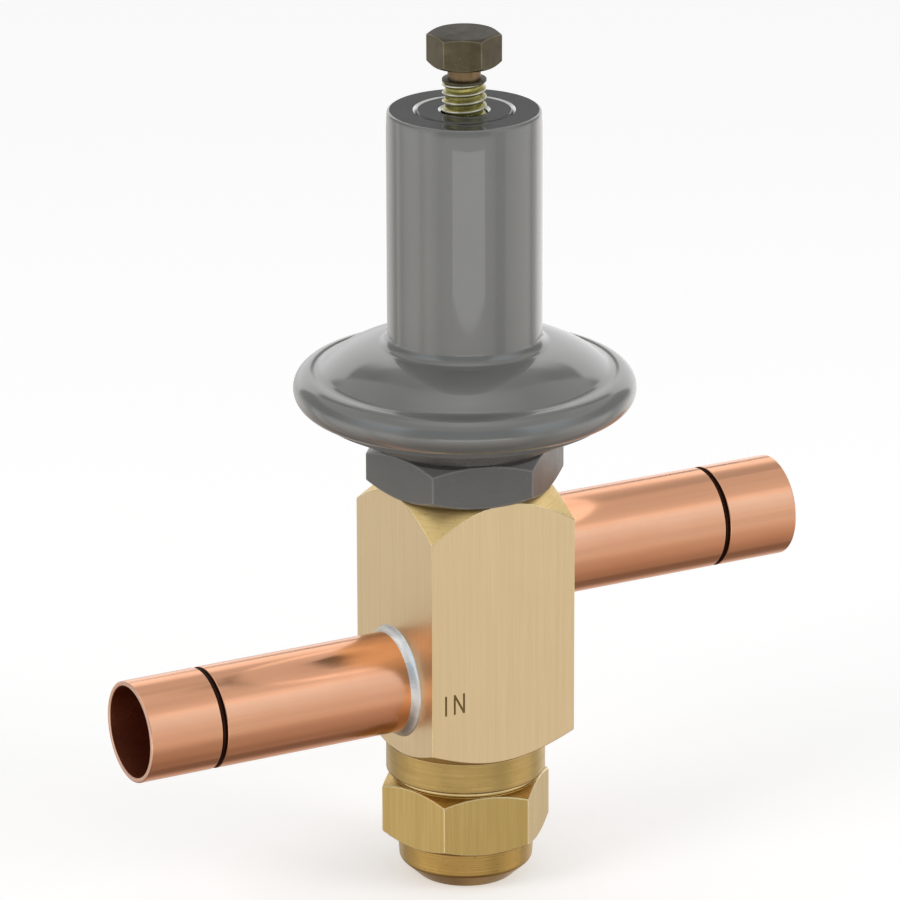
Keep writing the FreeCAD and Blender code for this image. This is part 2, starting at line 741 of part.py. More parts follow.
fill_sheets()
finished("bottom_plug", bottom_plug())
finished("plug_gasket", ring("plug_gasket", "chamber_radius", "plug_gasket_radius",
                             "plug_shoulder", "neck_base"))
finished("valve_body", valve_body())
solder_tube("inlet", "inlet_reach", "inlet_axis", 180)
solder_tube("outlet", "outlet_reach", "outlet_axis", 0)
finished("seat_ring", seat_ring())
finished("valve_piston", valve_piston())
finished("disc_seal", ring("disc_seal", "stud_radius", "seal_radius", "seal_base", "seal_top"))
finished("seal_retainer", ring("seal_retainer", "stud_radius", "retainer_radius",
                               "seal_top", "seal_top + retainer_thickness"))
finished("return_spring", coil_spring("return_spring", "return_coil_radius", "return_wire_radius",
                                      "return_spring_turns", "spigot_top", "piston_head_base"))
finished("push_rod", push_rod())
finished("rod_guide_bush", rod_guide_bush())
finished("adapter_gasket", ring("adapter_gasket", "adapter_gasket_bore", "adapter_spigot_radius",
                                "adapter_shelf", "spigot_base"))
finished("hex_adapter", hex_adapter())
finished("lower_casing", lower_casing())
finished("thrust_pad", thrust_pad())
finished("diaphragm", diaphragm())
finished("buffer_plate", buffer_plate())
finished("range_spring", coil_spring("range_spring", "range_coil_radius", "range_wire_radius",
                                     "range_spring_turns", "buffer_top", "spring_top"))
finished("upper_spring_seat", upper_spring_seat())
finished("spring_housing", spring_housing())
finished("threaded_bush", threaded_bush())
finished("adjusting_screw", adjusting_screw())
doc.recompute()

# Every object has to be sound before anything is written.
for item in doc.Objects:
    if "Invalid" in item.State or "Error" in item.State:
        raise RuntimeError(f"{item.Label} failed: {item.State}")
for node, piece in PARTS.items():
    shape = piece.Shape
    if shape.isNull() or not shape.isValid() or not shape.Solids:
        raise RuntimeError(f"{node} has no sound solid")

os.makedirs("parts", exist_ok=True)
for node, piece in PARTS.items():
    piece.Shape.exportStep(f"parts/{node}.step")
    box = piece.Shape.BoundBox
    print(f"{node}: {len(piece.Shape.Solids)} solid, volume {piece.Shape.Volume:.1f}, "
          f"z {box.ZMin:.2f} to {box.ZMax:.2f}")
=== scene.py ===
# Dressed model of a crankcase pressure regulator valve: brass body, two copper solder tubes,
# a grey enamelled diaphragm head and an adjusting screw. Outlines are drawn in millimetres.

import math

import bmesh
import bpy
from mathutils import Matrix, Vector, noise


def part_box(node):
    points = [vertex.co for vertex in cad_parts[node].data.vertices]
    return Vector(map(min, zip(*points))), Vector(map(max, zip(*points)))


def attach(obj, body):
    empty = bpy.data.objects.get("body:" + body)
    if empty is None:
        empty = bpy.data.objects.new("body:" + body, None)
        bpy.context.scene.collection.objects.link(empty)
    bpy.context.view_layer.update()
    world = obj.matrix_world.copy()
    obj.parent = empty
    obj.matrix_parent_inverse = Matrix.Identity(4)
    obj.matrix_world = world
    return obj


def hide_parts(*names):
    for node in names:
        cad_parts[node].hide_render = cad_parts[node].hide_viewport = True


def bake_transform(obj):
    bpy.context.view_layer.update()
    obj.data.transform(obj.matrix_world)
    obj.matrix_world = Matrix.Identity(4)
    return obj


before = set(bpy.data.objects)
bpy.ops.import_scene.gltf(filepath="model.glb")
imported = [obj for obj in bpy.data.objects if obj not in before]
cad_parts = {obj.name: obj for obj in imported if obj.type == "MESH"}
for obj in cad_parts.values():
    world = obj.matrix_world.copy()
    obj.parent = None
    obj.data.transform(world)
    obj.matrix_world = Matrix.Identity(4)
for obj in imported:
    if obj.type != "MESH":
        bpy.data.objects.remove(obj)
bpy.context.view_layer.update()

MM = 0.001
MERGE = 0.0005
STEPS = 144
DOME_STEPS = 192
WHITE = (1.0, 1.0, 1.0)

# Hexagons and the square bar: width across flats and the angle of one corner.
PLUG_FLATS = 26.4
PLUG_TURN = 47.6
ADAPTER_FLATS = 30.3
ADAPTER_TURN = 43.4
HEAD_FLATS = 11.2
HEAD_TURN = 29.0
BAR_WIDTH = 28.0
BAR_TURN = 45.0
STOCK_MARGIN = 0.4
EDGE_BREAK = 0.14
CHAMFER = math.tan(math.radians(30))

# Radii that neighbouring pieces share.
BODY_BORE = 10.0
ADAPTER_SPIGOT = 11.0
ADAPTER_COLLAR = 10.5

# Solder tubes, the sides that they leave the body on, and their seats in it.
TUBES = (("inlet", -1), ("outlet", 1))
TUBE_WALL = 0.87
TUBE_SEAT = 3.2
PORT_RADIUS = 7.9
STOP_DISTANCE = 13.9
STOP_WIDTH = 1.1
STOP_DEPTH = 0.65
BRAZE_RISE = 1.15
BRAZE_RUN = 1.4
BRAZE_HOLLOW = 2.4

# Threads of the adjusting screw.
PITCH = 1.5
THREAD_ROOT = 3.25
THREAD_CREST = 3.8
THREAD_TURN = 100.0

# Engraved marks on the body: foot of the letters, their height and the stroke's half width.
MARK_FOOT = 35.75
MARK_HEIGHT = 3.35
MARK_STROKE = 0.2
MARK_DEPTH = 0.16
MARK_I = -11.3
MARK_N = (-9.6, -7.8)

# Tones of the light tent as gloss sees it, by angle above the horizon: in front of the valve, where
# the tent's mouth is dark, at its front quarters, beside it, at its rear quarters and straight
# behind it, where the back wall has a dark slot.
TENT_TOP = 1.7
TENT_MOUTH = [(-90, 0.12), (-62, 0.18), (-50, 0.35), (-36, 0.52), (-19, 0.85), (-12, 0.82),
              (-4, 0.4), (40, 0.4), (50, 0.72), (61, 0.68), (75, 0.95), (90, 1.25)]
TENT_FRONT = [(-90, 0.12), (-62, 0.18), (-50, 0.35), (-36, 0.52), (-19, 0.85), (0, 0.8), (16, 0.85),
              (34, 0.98), (42, 1.1), (48, 0.76), (61, 0.66), (75, 0.95), (90, 1.25)]
TENT_SIDE = [(-90, 0.12), (-60, 0.24), (-30, 0.55), (-19, 0.68), (-8, 0.75), (0, 0.6), (4, 0.3),
             (24, 0.3), (32, 0.72), (50, 0.74), (62, 0.63), (75, 0.95), (90, 1.25)]
TENT_QUARTER = [(-90, 0.12), (-45, 0.3), (-30, 0.7), (-19, 1.25), (-10, 1.25), (0, 1.25),
                (30, 1.25), (33, 0.25), (44, 0.25), (52, 0.47), (62, 0.5), (75, 0.98), (90, 1.25)]
TENT_BACK = [(-90, 0.15), (-72, 0.45), (-45, 0.6), (-30, 0.8), (-19, 1.0), (-10, 1.05), (0, 1.15),
             (30, 1.2), (37, 1.08), (41, 0.62), (53, 0.6), (59, 0.8), (75, 1.1), (90, 1.25)]
TENT_SLOT = [(11.5, 1.0), (12.5, 0.08), (18.2, 0.08), (18.8, 1.0)]

# Seams and folds of the tent's lower wall, by angle to the right of the view.
TENT_FOLDS = [(-126, 0.7), (-121, 0.8), (-118, 1.35), (-114, 1.35), (-107, 0.95), (-98, 1.4),
              (-88, 1.6), (-80, 1.62), (-74, 1.62), (-66, 1.2), (-60, 1.45), (-54, 1.6),
              (-46, 1.42), (-36, 1.2), (-26, 1.32), (26, 1.3), (36, 1.22), (44, 1.1), (48, 0.84),
              (60, 0.84), (66, 1.25), (88, 1.55), (104, 1.65), (112, 1.3), (117, 0.65), (121, 1.0)]

# Warmth of the light that the table throws up, by angle above the horizon.
TABLE_WARMTH = [(-90, (1.0, 0.74, 0.58)), (-45, (1.0, 0.82, 0.70)), (-30, (1.0, 0.90, 0.82)),
                (-19, (1.0, 0.97, 0.93)), (-8, WHITE)]

# The cooler window light that comes in over the front wall.
WINDOW_COOLNESS = [(4, WHITE), (16, (0.98, 1.08, 1.18)), (34, (0.98, 1.12, 1.26)), (42, WHITE)]

# The lamp that stands for the table's light on the underside of the head, seen by gloss only.
BOUNCE_WIDTH = 2.1
BOUNCE_GAP = 0.4
BOUNCE_POWER = 0.0058

# The share of the range spring's height, from its foot, at which a coil keeps still.
SPRING_STILL = 0.35

# Viewpoint of the photograph, worked out from the body's edges and the tube ends.
VIEW_AZIMUTH = math.radians(-28.058)
VIEW_ELEVATION = math.radians(19.239)
VIEW_ROLL = math.radians(-0.166)
VIEW_DISTANCE = 1.12312
VIEW_HEIGHT = 0.07806
VIEW_SIDE = -0.002586
VIEW_LENS = 260.2


def low(node):
    """The lowest corner of a CAD node, in millimetres."""
    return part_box(node)[0] / MM


def high(node):
    """The highest corner of a CAD node, in millimetres."""
    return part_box(node)[1] / MM


def middle_height(node):
    """The height of a level tube's axis."""
    return (low(node).z + high(node).z) / 2


TUBE_RADIUS = high("inlet_tube").y

# The rolled rim: centre of its round section, its sheet, and the lip and edge of the casing that it
# is rolled round.
RIM_HEIGHT = low("lower_casing").z + 9.55
RIM_RADIUS = 26.38
RIM_TUBE = high("spring_housing").x - RIM_RADIUS
RIM_SHEET = 1.6
RIM_LIP = RIM_RADIUS - 1.08
RIM_LIP_TOP = RIM_HEIGHT - RIM_TUBE + RIM_SHEET
RIM_EDGE = RIM_RADIUS + 1.02

# The hole that the housing's roof leaves for the bush, and the roof's lower face.
BUSH_RADIUS = high("threaded_bush").x - 1.9
ROOF_BASE = high("spring_housing").z - 3.0


# Node trees


def feed(tree, socket, source):
    """Give a socket another node's output or a plain value. A colour is written without alpha."""
    if isinstance(source, bpy.types.NodeSocket):
        tree.links.new(source, socket)
    elif socket.type == "RGBA":
        socket.default_value = (*source, 1.0)
    else:
        socket.default_value = source


def add(tree, kind, settings=None, inputs=None):
    """A new node with its settings and what its inputs take."""
    made = tree.nodes.new("ShaderNode" + kind)
    for name, setting in (settings or {}).items():
        setattr(made, name, setting)
    for key, source in (inputs or {}).items():
        feed(tree, made.inputs[key], source)
    return made


def maths(tree, operation, first, second=0.0):
    return add(tree, "Math", {"operation": operation}, {0: first, 1: second}).outputs[0]


def share(tree, mask, amount):
    """A part of a mask."""
    return maths(tree, "MULTIPLY", mask, amount)


def between(tree, mask, low_value, high_value):
    """A mask from 0 to 1 stretched between two values."""
    inputs = {"Value": mask, "To Min": low_value, "To Max": high_value}
    return add(tree, "MapRange", None, inputs).outputs["Result"]


def contrast(tree, value, first, last):
    """A mask that goes from 0 to 1 as the value goes from first to last."""
    inputs = {"Value": value, "From Min": first, "From Max": last}
    return add(tree, "MapRange", None, inputs).outputs["Result"]


def clouds(tree, place, scale, detail=1.0, **sockets):
    """Noise over a place, finer as its scale grows."""
    inputs = {"Vector": place, "Scale": scale, "Detail": detail, **sockets}
    return add(tree, "TexNoise", None, inputs).outputs["Fac"]


def blended(tree, mask, first, second, kind="MIX"):
    """One colour laid over another where the mask is 1."""
    settings = {"data_type": "RGBA", "blend_type": kind}
    return add(tree, "Mix", settings, {"Factor": mask, 6: first, 7: second}).outputs[2]


def times(tree, first, second):
    """One colour multiplied by another."""
    return blended(tree, 1.0, first, second, "MULTIPLY")


def stops(tree, mask, points):
    """A ramp through (position, grey value or colour) points."""
    ramp = add(tree, "ValToRGB", None, {"Fac": mask})
    elements = ramp.color_ramp.elements
    for index, (place, tone) in enumerate(points):
        element = elements[index] if index < 2 else elements.new(place)
        element.position = place
        element.color = (*tone, 1) if isinstance(tone, tuple) else (tone, tone, tone, 1)
    return ramp.outputs["Color"]


def new_group(name, values, masks):
    """A node group that takes a Vector and some values and puts out masks. With its tree come its
    inputs, the vector in millimetres and a function that sets a mask."""
    tree = bpy.data.node_groups.new(name, "ShaderNodeTree")
    tree.interface.new_socket("Vector", in_out="INPUT", socket_type="NodeSocketVector")
    for label, start in values.items():
        socket = tree.interface.new_socket(label, in_out="INPUT", socket_type="NodeSocketFloat")
        socket.default_value = start
    for label in masks:
        tree.interface.new_socket(label, in_out="OUTPUT", socket_type="NodeSocketFloat")
    given = tree.nodes.new("NodeGroupInput").outputs
    result = tree.nodes.new("NodeGroupOutput")
    scaled = add(tree, "VectorMath", {"operation": "SCALE"}, {0: given["Vector"], "Scale": 1 / MM})

    def give(label, socket):
        tree.links.new(socket, result.inputs[label])

    return tree, given, scaled.outputs[0], give


def brushing_group():
    """Fine lines left by a brush that ran along Z, in two widths, with a few deeper scratches."""
    tree, given, place, give = new_group(
        "Brushing", {"Width": 0.15, "Stretch": 60.0}, ["Lines", "Scratches"])
    squeeze = add(tree, "CombineXYZ", None,
                  {0: 1.0, 1: 1.0, 2: maths(tree, "DIVIDE", 1.0, given["Stretch"])}).outputs[0]
    run = add(tree, "VectorMath", {"operation": "MULTIPLY"}, {0: place, 1: squeeze}).outputs[0]
    fineness = maths(tree, "DIVIDE", 1.0, given["Width"])
    fine = clouds(tree, run, fineness, 2.0, Roughness=0.6)
    broad = clouds(tree, run, share(tree, fineness, 0.22))
    total = maths(tree, "ADD", share(tree, fine, 0.65), share(tree, broad, 0.35))
    give("Lines", contrast(tree, total, 0.32, 0.68))
    give("Scratches", contrast(tree, fine, 0.66, 0.74))
    return tree


def turning_group():
    """Rings left by a lathe tool round the Z axis, on cylinders, cones and end faces."""
    tree, given, place, give = new_group("Turning", {"Pitch": 0.2}, ["Rings", "Radius"])
    axes = add(tree, "SeparateXYZ", None, {0: place}).outputs
    flat = add(tree, "CombineXYZ", None, {0: axes[0], 1: axes[1]}).outputs[0]
    radius = add(tree, "VectorMath", {"operation": "LENGTH"}, {0: flat}).outputs["Value"]
    drift = share(tree, clouds(tree, place, 0.25), 0.4)
    profile = add(tree, "CombineXYZ", None, {0: radius, 1: axes[2], 2: drift}).outputs[0]
    rings = clouds(tree, profile, maths(tree, "DIVIDE", 1.0, given["Pitch"]), 2.0, Roughness=0.6)
    give("Rings", contrast(tree, rings, 0.3, 0.7))
    give("Radius", radius)
    return tree


def tarnish_group():
    """Soft stains and small spots, as handling and heat leave on bare metal."""
    tree, given, place, give = new_group("Tarnish", {"Size": 6.0}, ["Stains", "Spots"])
    wide = clouds(tree, place, maths(tree, "DIVIDE", 1.0, given["Size"]), 4.0,
                  Roughness=0.55, Distortion=0.4)
    small = clouds(tree, place, maths(tree, "DIVIDE", 9.0, given["Size"]), 3.0)
    give("Stains", contrast(tree, wide, 0.35, 0.7))
    give("Spots", contrast(tree, small, 0.6, 0.74))
    return tree


def enamel_group():
    """The gentle waves of thick sprayed enamel, with a fine grain on top of them."""
    tree, given, place, give = new_group("Enamel surface", {"Wave": 2.0}, ["Waves", "Grain"])
    give("Waves", clouds(tree, place, maths(tree, "DIVIDE", 1.0, given["Wave"])))
    give("Grain", clouds(tree, place, 5.0, 2.0))
    return tree


BRUSHING = brushing_group()
TURNING = turning_group()
TARNISH = tarnish_group()
ENAMEL = enamel_group()


def effect(tree, group, vector, **values):
    """One of the shared groups, placed with its own values."""
    made = tree.nodes.new("ShaderNodeGroup")
    made.node_tree = group
    tree.links.new(vector, made.inputs["Vector"])
    for label, number in values.items():
        made.inputs[label].default_value = number
    return made.outputs


def new_material(name, metallic=1.0, **sockets):
    """A material with its Principled shader, its Object coordinates and the shader's plain values."""
    material = bpy.data.materials.new(name)
    material.use_nodes = True
    tree = material.node_tree
    shader = next(node for node in tree.nodes if node.type == "BSDF_PRINCIPLED")
    shader.inputs["Metallic"].default_value = metallic
    for label, number in sockets.items():
        shader.inputs[label.replace("_", " ")].default_value = number
    place = add(tree, "TexCoord").outputs["Object"]
    return material, tree, shader, place


def surface(tree, shader, colour, roughness, height, depth, strength=1.0):
    """Join a finish to the shader: its colour, its roughness and its relief, whose depth is in
    millimetres for the height's full range."""
    relief = add(tree, "Bump", None,
                 {"Strength": strength, "Distance": depth * MM, "Height": height})
    tree.links.new(colour, shader.inputs["Base Color"])
    tree.links.new(roughness, shader.inputs["Roughness"])
    tree.links.new(relief.outputs["Normal"], shader.inputs["Normal"])


def brushed_brass(name, light, dark, stain, roughness=0.34):
    """Drawn brass bar, its flats brushed along Z."""
    material, tree, shader, place = new_material(name, Anisotropic=0.35)
    lines = effect(tree, BRUSHING, place, Width=0.16, Stretch=70.0)
    marks = effect(tree, TARNISH, place, Size=16.0)
    colour = blended(tree, lines["Lines"], dark, light)
    colour = blended(tree, share(tree, marks["Stains"], 0.35), colour, stain)
    colour = blended(tree, share(tree, lines["Scratches"], 0.35), colour, light)
    rough = between(tree, lines["Lines"], roughness + 0.06, roughness - 0.05)
    surface(tree, shader, colour, rough, lines["Lines"], 0.012, 0.5)
    return material


def turned_metal(name, light, dark, stain, roughness=0.28, pitch=0.22, stains=0.5, spots=0.3):
    """Bare metal straight off the lathe, with its rings and a few stains."""
    material, tree, shader, place = new_material(name)
    rings = effect(tree, TURNING, place, Pitch=pitch)
    marks = effect(tree, TARNISH, place, Size=7.0)
    colour = blended(tree, rings["Rings"], dark, light)
    colour = blended(tree, share(tree, marks["Stains"], stains), colour, stain)
    colour = blended(tree, share(tree, marks["Spots"], spots), colour, stain, "MULTIPLY")
    rough = maths(tree, "ADD", between(tree, rings["Rings"], roughness + 0.05, roughness - 0.04),
                  share(tree, marks["Stains"], 0.08))
    surface(tree, shader, colour, rough, rings["Rings"], 0.02, 0.6)
    return material


def copper_tube():
    """Drawn copper, polished, with faint draw lines along X and a few warm stains."""
    material, tree, shader, place = new_material("polished copper tube")
    turned = {"Vector": place, "Rotation": (0, math.radians(90), 0)}
    along = add(tree, "Mapping", None, turned).outputs[0]
    lines = effect(tree, BRUSHING, along, Width=0.3, Stretch=90.0)
    marks = effect(tree, TARNISH, place, Size=13.0)
    colour = blended(tree, lines["Lines"], (0.88, 0.445, 0.26), (0.92, 0.485, 0.295))
    colour = blended(tree, share(tree, marks["Stains"], 0.4), colour, (0.86, 0.405, 0.23))
    rough = between(tree, marks["Stains"], 0.15, 0.23)
    surface(tree, shader, colour, rough, lines["Lines"], 0.006, 0.4)
    return material


def silver_braze():
    """Brazing alloy that has run and frozen: bright, with soft ripples and grey flux edges."""
    material, tree, shader, place = new_material("silver braze")
    marks = effect(tree, TARNISH, place, Size=5.0)
    colour = blended(tree, marks["Stains"], (0.86, 0.86, 0.85), (0.70, 0.69, 0.68))
    colour = blended(tree, share(tree, marks["Spots"], 0.35), colour, (0.45, 0.43, 0.40))
    surface(tree, shader, colour, between(tree, marks["Stains"], 0.30, 0.42), marks["Stains"], 0.05)
    return material


def grey_enamel(name, deep, pale, coat=1.0, shine=0.35):
    """Glossy grey enamel, thick enough to round the pressed shell's edges."""
    material, tree, shader, place = new_material(
        name, metallic=0.0, Coat_Weight=coat, Coat_Roughness=0.05, Coat_IOR=1.76,
        Specular_IOR_Level=shine)
    waves = effect(tree, ENAMEL, place, Wave=3.0)
    marks = effect(tree, TARNISH, place, Size=14.0)
    colour = blended(tree, marks["Stains"], deep, pale)
    colour = blended(tree, share(tree, waves["Grain"], 0.12), colour, (0.16, 0.158, 0.15))
    rough = between(tree, waves["Grain"], 0.30, 0.40)
    surface(tree, shader, colour, rough, waves["Waves"], 0.02, 0.6)
    return material


def satin_grey(name, base, worn, roughness=0.36):
    """Thin grey coating over turned and milled steel, its tool marks just showing through."""
    material, tree, shader, place = new_material(
        name, metallic=0.0, Coat_Weight=0.3, Coat_Roughness=0.2)
    rings = effect(tree, TURNING, place, Pitch=0.3)
    marks = effect(tree, TARNISH, place, Size=5.0)
    colour = blended(tree, share(tree, rings["Rings"], 0.3), base, worn)
    colour = blended(tree, share(tree, marks["Spots"], 0.35), colour, worn)
    rough = between(tree, marks["Stains"], roughness - 0.05, roughness + 0.08)
    surface(tree, shader, colour, rough, rings["Rings"], 0.015, 0.5)
    return material


def passivated_zinc(name, base, stain, worn, roughness=0.36, metallic=0.75):
    """Dark yellow-passivated zinc with stains and lighter rubbed places."""
    material, tree, shader, place = new_material(name, metallic=metallic)
    marks = effect(tree, TARNISH, place, Size=4.0)
    rings = effect(tree, TURNING, place, Pitch=0.25)
    colour = blended(tree, marks["Stains"], base, stain)
    colour = blended(tree, share(tree, marks["Spots"], 0.4), colour, worn)
    rough = between(tree, marks["Stains"], roughness, roughness + 0.12)
    surface(tree, shader, colour, rough, rings["Rings"], 0.012, 0.5)
    return material


def screw_thread():
    """Yellow zinc in the thread's valleys, rubbed to bright metal on its crests."""
    material, tree, shader, place = new_material("yellow zinc thread", metallic=0.9)
    rings = effect(tree, TURNING, place, Pitch=0.4)
    marks = effect(tree, TARNISH, place, Size=1.6)
    crest = contrast(tree, rings["Radius"], THREAD_CREST - 0.16, THREAD_CREST - 0.05)
    colour = blended(tree, marks["Stains"], (0.42, 0.38, 0.13), (0.26, 0.24, 0.09))
    colour = blended(tree, crest, colour, (0.72, 0.70, 0.60))
    surface(tree, shader, colour, between(tree, marks["Stains"], 0.24, 0.36), marks["Stains"], 0.03)
    return material


def mottled(name, pale, dark, size, roughness, relief, depth, metallic=1.0):
    """A plain finish that only its stains and spots break up."""
    material, tree, shader, place = new_material(name, metallic)
    marks = effect(tree, TARNISH, place, Size=size)
    colour = blended(tree, marks["Stains"], pale, dark)
    rough = between(tree, marks["Stains"], *roughness)
    surface(tree, shader, colour, rough, marks[relief], depth)
    return material


BODY_BRASS = brushed_brass("brushed body brass", (0.87, 0.69, 0.425), (0.79, 0.62, 0.37),
                           (0.80, 0.62, 0.355))
BODY_TURNED = turned_metal("turned body brass", (0.86, 0.66, 0.31), (0.74, 0.54, 0.23),
                           (0.68, 0.48, 0.20), roughness=0.40)
# The neck is the body's own turned brass, darkened as painted shade below the bar.
NECK_TURNED_SHADED = turned_metal("turned neck brass with painted shade", (0.54, 0.39, 0.155), (0.46, 0.32, 0.11),
                           (0.41, 0.285, 0.10), roughness=0.30, pitch=0.2, spots=0.15)
PLUG_FLAT = brushed_brass("brushed plug brass", (0.55, 0.405, 0.158), (0.465, 0.33, 0.115),
                          (0.48, 0.34, 0.115), roughness=0.32)
PLUG_TURNED = turned_metal("turned plug brass", (0.56, 0.385, 0.135), (0.46, 0.30, 0.09),
                           (0.43, 0.275, 0.08), roughness=0.27)
BRASS_EDGE = turned_metal("rubbed brass edge", (0.86, 0.72, 0.44), (0.76, 0.60, 0.32),
                          (0.70, 0.54, 0.26), roughness=0.25)
ENGRAVED = turned_metal("engraved brass", (0.30, 0.20, 0.08), (0.22, 0.14, 0.05),
                        (0.20, 0.13, 0.05), roughness=0.45)
COPPER = copper_tube()
COPPER_BORE = mottled("oxidised copper bore", (0.55, 0.18, 0.09), (0.32, 0.10, 0.055), size=5.0,
                      roughness=(0.38, 0.55), relief="Spots", depth=0.02)
COPPER_EDGE = turned_metal("cut copper edge", (0.92, 0.62, 0.48), (0.84, 0.52, 0.38),
                           (0.80, 0.46, 0.32), roughness=0.25)
# The near-black colour in the rolled groove is painted shade.
COPPER_GROOVE_SHADE = turned_metal("rolled copper groove with painted shade", (0.07, 0.028, 0.018), (0.04, 0.016, 0.01),
                             (0.035, 0.014, 0.01), roughness=0.5)
GASKET_COPPER = turned_metal("soft gasket copper", (0.84, 0.68, 0.36), (0.76, 0.59, 0.29),
                             (0.64, 0.47, 0.22), roughness=0.3)
BRAZE_SILVER = silver_braze()
GREY_ENAMEL = grey_enamel("grey enamel", (0.118, 0.120, 0.113), (0.130, 0.132, 0.124))
# The top's enamel has less coat and shine; its much darker colour is painted shade for the weaker
# light that falls from above.
GREY_TOP_SHADED = grey_enamel("top enamel with painted shade", (0.034, 0.035, 0.035), (0.046, 0.047, 0.047),
                       coat=0.6, shine=0.1)
GREY_CASING = satin_grey("lower casing enamel", (0.10, 0.098, 0.092), (0.15, 0.148, 0.14),
                         roughness=0.3)
GREY_HEX = satin_grey("grey coated hexagon", (0.095, 0.093, 0.087), (0.13, 0.127, 0.118))
GREY_HEX_EDGE = satin_grey("rubbed grey edge", (0.16, 0.157, 0.15), (0.22, 0.217, 0.21),
                           roughness=0.3)
BUSH_EDGE = turned_metal("bright ring edge", (0.90, 0.90, 0.88), (0.80, 0.80, 0.78),
                         (0.66, 0.66, 0.64), roughness=0.3)
HEAD_ZINC = passivated_zinc("dark head zinc", (0.12, 0.10, 0.058), (0.085, 0.07, 0.04),
                            (0.20, 0.17, 0.105))
HEAD_EDGE = passivated_zinc("rubbed head edge", (0.21, 0.18, 0.115), (0.15, 0.13, 0.08),
                            (0.36, 0.32, 0.23), roughness=0.3)
# The head's top is duller, and its darker colour is painted shade for the weaker light from above.
HEAD_TOP_SHADED = passivated_zinc("dull head zinc with painted shade", (0.062, 0.052, 0.034), (0.045, 0.038, 0.025),
                           (0.09, 0.078, 0.052), roughness=0.55, metallic=0.2)
NECK_ZINC = passivated_zinc("brown undercut zinc", (0.24, 0.16, 0.075), (0.17, 0.115, 0.06),
                            (0.3, 0.22, 0.12), roughness=0.3)
THREAD_ZINC = screw_thread()
STAINLESS = turned_metal("turned stainless steel", (0.62, 0.61, 0.59), (0.50, 0.49, 0.48),
                         (0.45, 0.44, 0.42), roughness=0.25, pitch=0.2, stains=0.2, spots=0.1)
ZINC_PLATE = turned_metal("zinc plated steel", (0.60, 0.61, 0.62), (0.48, 0.49, 0.50),
                          (0.44, 0.43, 0.38), roughness=0.32, pitch=0.3, stains=0.4)
BRONZE = turned_metal("bearing bronze", (0.55, 0.33, 0.13), (0.45, 0.26, 0.09),
                      (0.36, 0.20, 0.08), roughness=0.3)
INNER_BRASS = turned_metal("turned inner brass", (0.64, 0.47, 0.20), (0.52, 0.37, 0.14),
                           (0.47, 0.32, 0.12), roughness=0.26)
SPRING_WIRE = mottled("drawn spring wire", (0.42, 0.42, 0.43), (0.28, 0.28, 0.29), size=3.0,
                      roughness=(0.25, 0.4), relief="Spots", depth=0.01)
SEAL = mottled("seal plastic", (0.80, 0.79, 0.74), (0.72, 0.70, 0.65), size=4.0,
               roughness=(0.35, 0.5), relief="Stains", depth=0.01, metallic=0.0)


# Mesh tools


def outline(start, *moves):
    """A wire in the XZ plane, closed onto its start unless both ends lie on the axis. A move is
    (x, z) or (x, z, rounding) for a straight run, or (x, z, degrees, steps) for an arc about x, z."""
    shape = bmesh.new()
    first = shape.verts.new((start[0], 0, start[1]))
    tip = first
    rounded = {}
    for move in moves:
        if len(move) == 4:
            x, z, degrees, steps = move
            made = bmesh.ops.spin(shape, geom=[tip], cent=(x, 0, z), axis=(0, -1, 0),
                                  angle=math.radians(degrees), steps=steps)
            tip = next(item for item in made["geom_last"] if isinstance(item, bmesh.types.BMVert))
            continue
        after = shape.verts.new((move[0], 0, move[1]))
        shape.edges.new((tip, after))
        tip = after
        if len(move) == 3:
            rounded.setdefault(move[2], []).append(tip)
    if first.co.x > 0 or tip.co.x > 0:
        shape.edges.new((tip, first))
    for size, corners in rounded.items():
        bmesh.ops.bevel(shape, geom=corners, offset=size, offset_type="OFFSET", segments=4,
                        profile=0.5, affect="VERTICES", material=-1)
    return shape


def arc_by_radius(start, end, radius):
    """Centre and angle of a clockwise arc between two points of an outline."""
    start, end = Vector(start), Vector(end)
    across = end - start
    height = math.sqrt(radius * radius - across.length_squared / 4)
    centre = (start + end) / 2 + Vector((across.y, -across.x)).normalized() * height
    angle = math.degrees((end - centre).angle_signed(start - centre))
    return centre.x, centre.y, angle


def lathe(shape, steps=STEPS, turn=0.0):
    """Spin a wire about Z into a closed skin whose first seam lies at the turn angle."""
    bmesh.ops.rotate(shape, verts=shape.verts, cent=(0, 0, 0),
                     matrix=Matrix.Rotation(math.radians(turn), 3, "Z"))
    bmesh.ops.spin(shape, geom=shape.verts[:] + shape.edges[:], cent=(0, 0, 0), axis=(0, 0, 1),
                   angle=math.tau, steps=steps, use_merge=True)
    bmesh.ops.remove_doubles(shape, verts=shape.verts, dist=MERGE)
    bmesh.ops.recalc_face_normals(shape, faces=shape.faces)
    return shape


def cut_off(shape, place, normal):
    """Cut away what lies beyond a plane and close the cut. Its new faces are returned."""
    cut = bmesh.ops.bisect_plane(shape, geom=shape.verts[:] + shape.edges[:] + shape.faces[:],
                                 dist=MERGE, plane_co=place, plane_no=normal, clear_outer=True)
    edges = [item for item in cut["geom_cut"] if isinstance(item, bmesh.types.BMEdge)]
    return bmesh.ops.edgeloop_fill(shape, edges=edges)["faces"]


def cut_flats(shape, sides, across_flats, turn, material):
    """Cut a turned bar to its flats. The new faces take the given material."""
    for side in range(sides):
        angle = math.radians(turn + (side + 0.5) * 360 / sides)
        normal = Vector((math.cos(angle), math.sin(angle), 0))
        for face in cut_off(shape, normal * across_flats / 2, normal):
            face.material_index = material
    bmesh.ops.recalc_face_normals(shape, faces=shape.faces)


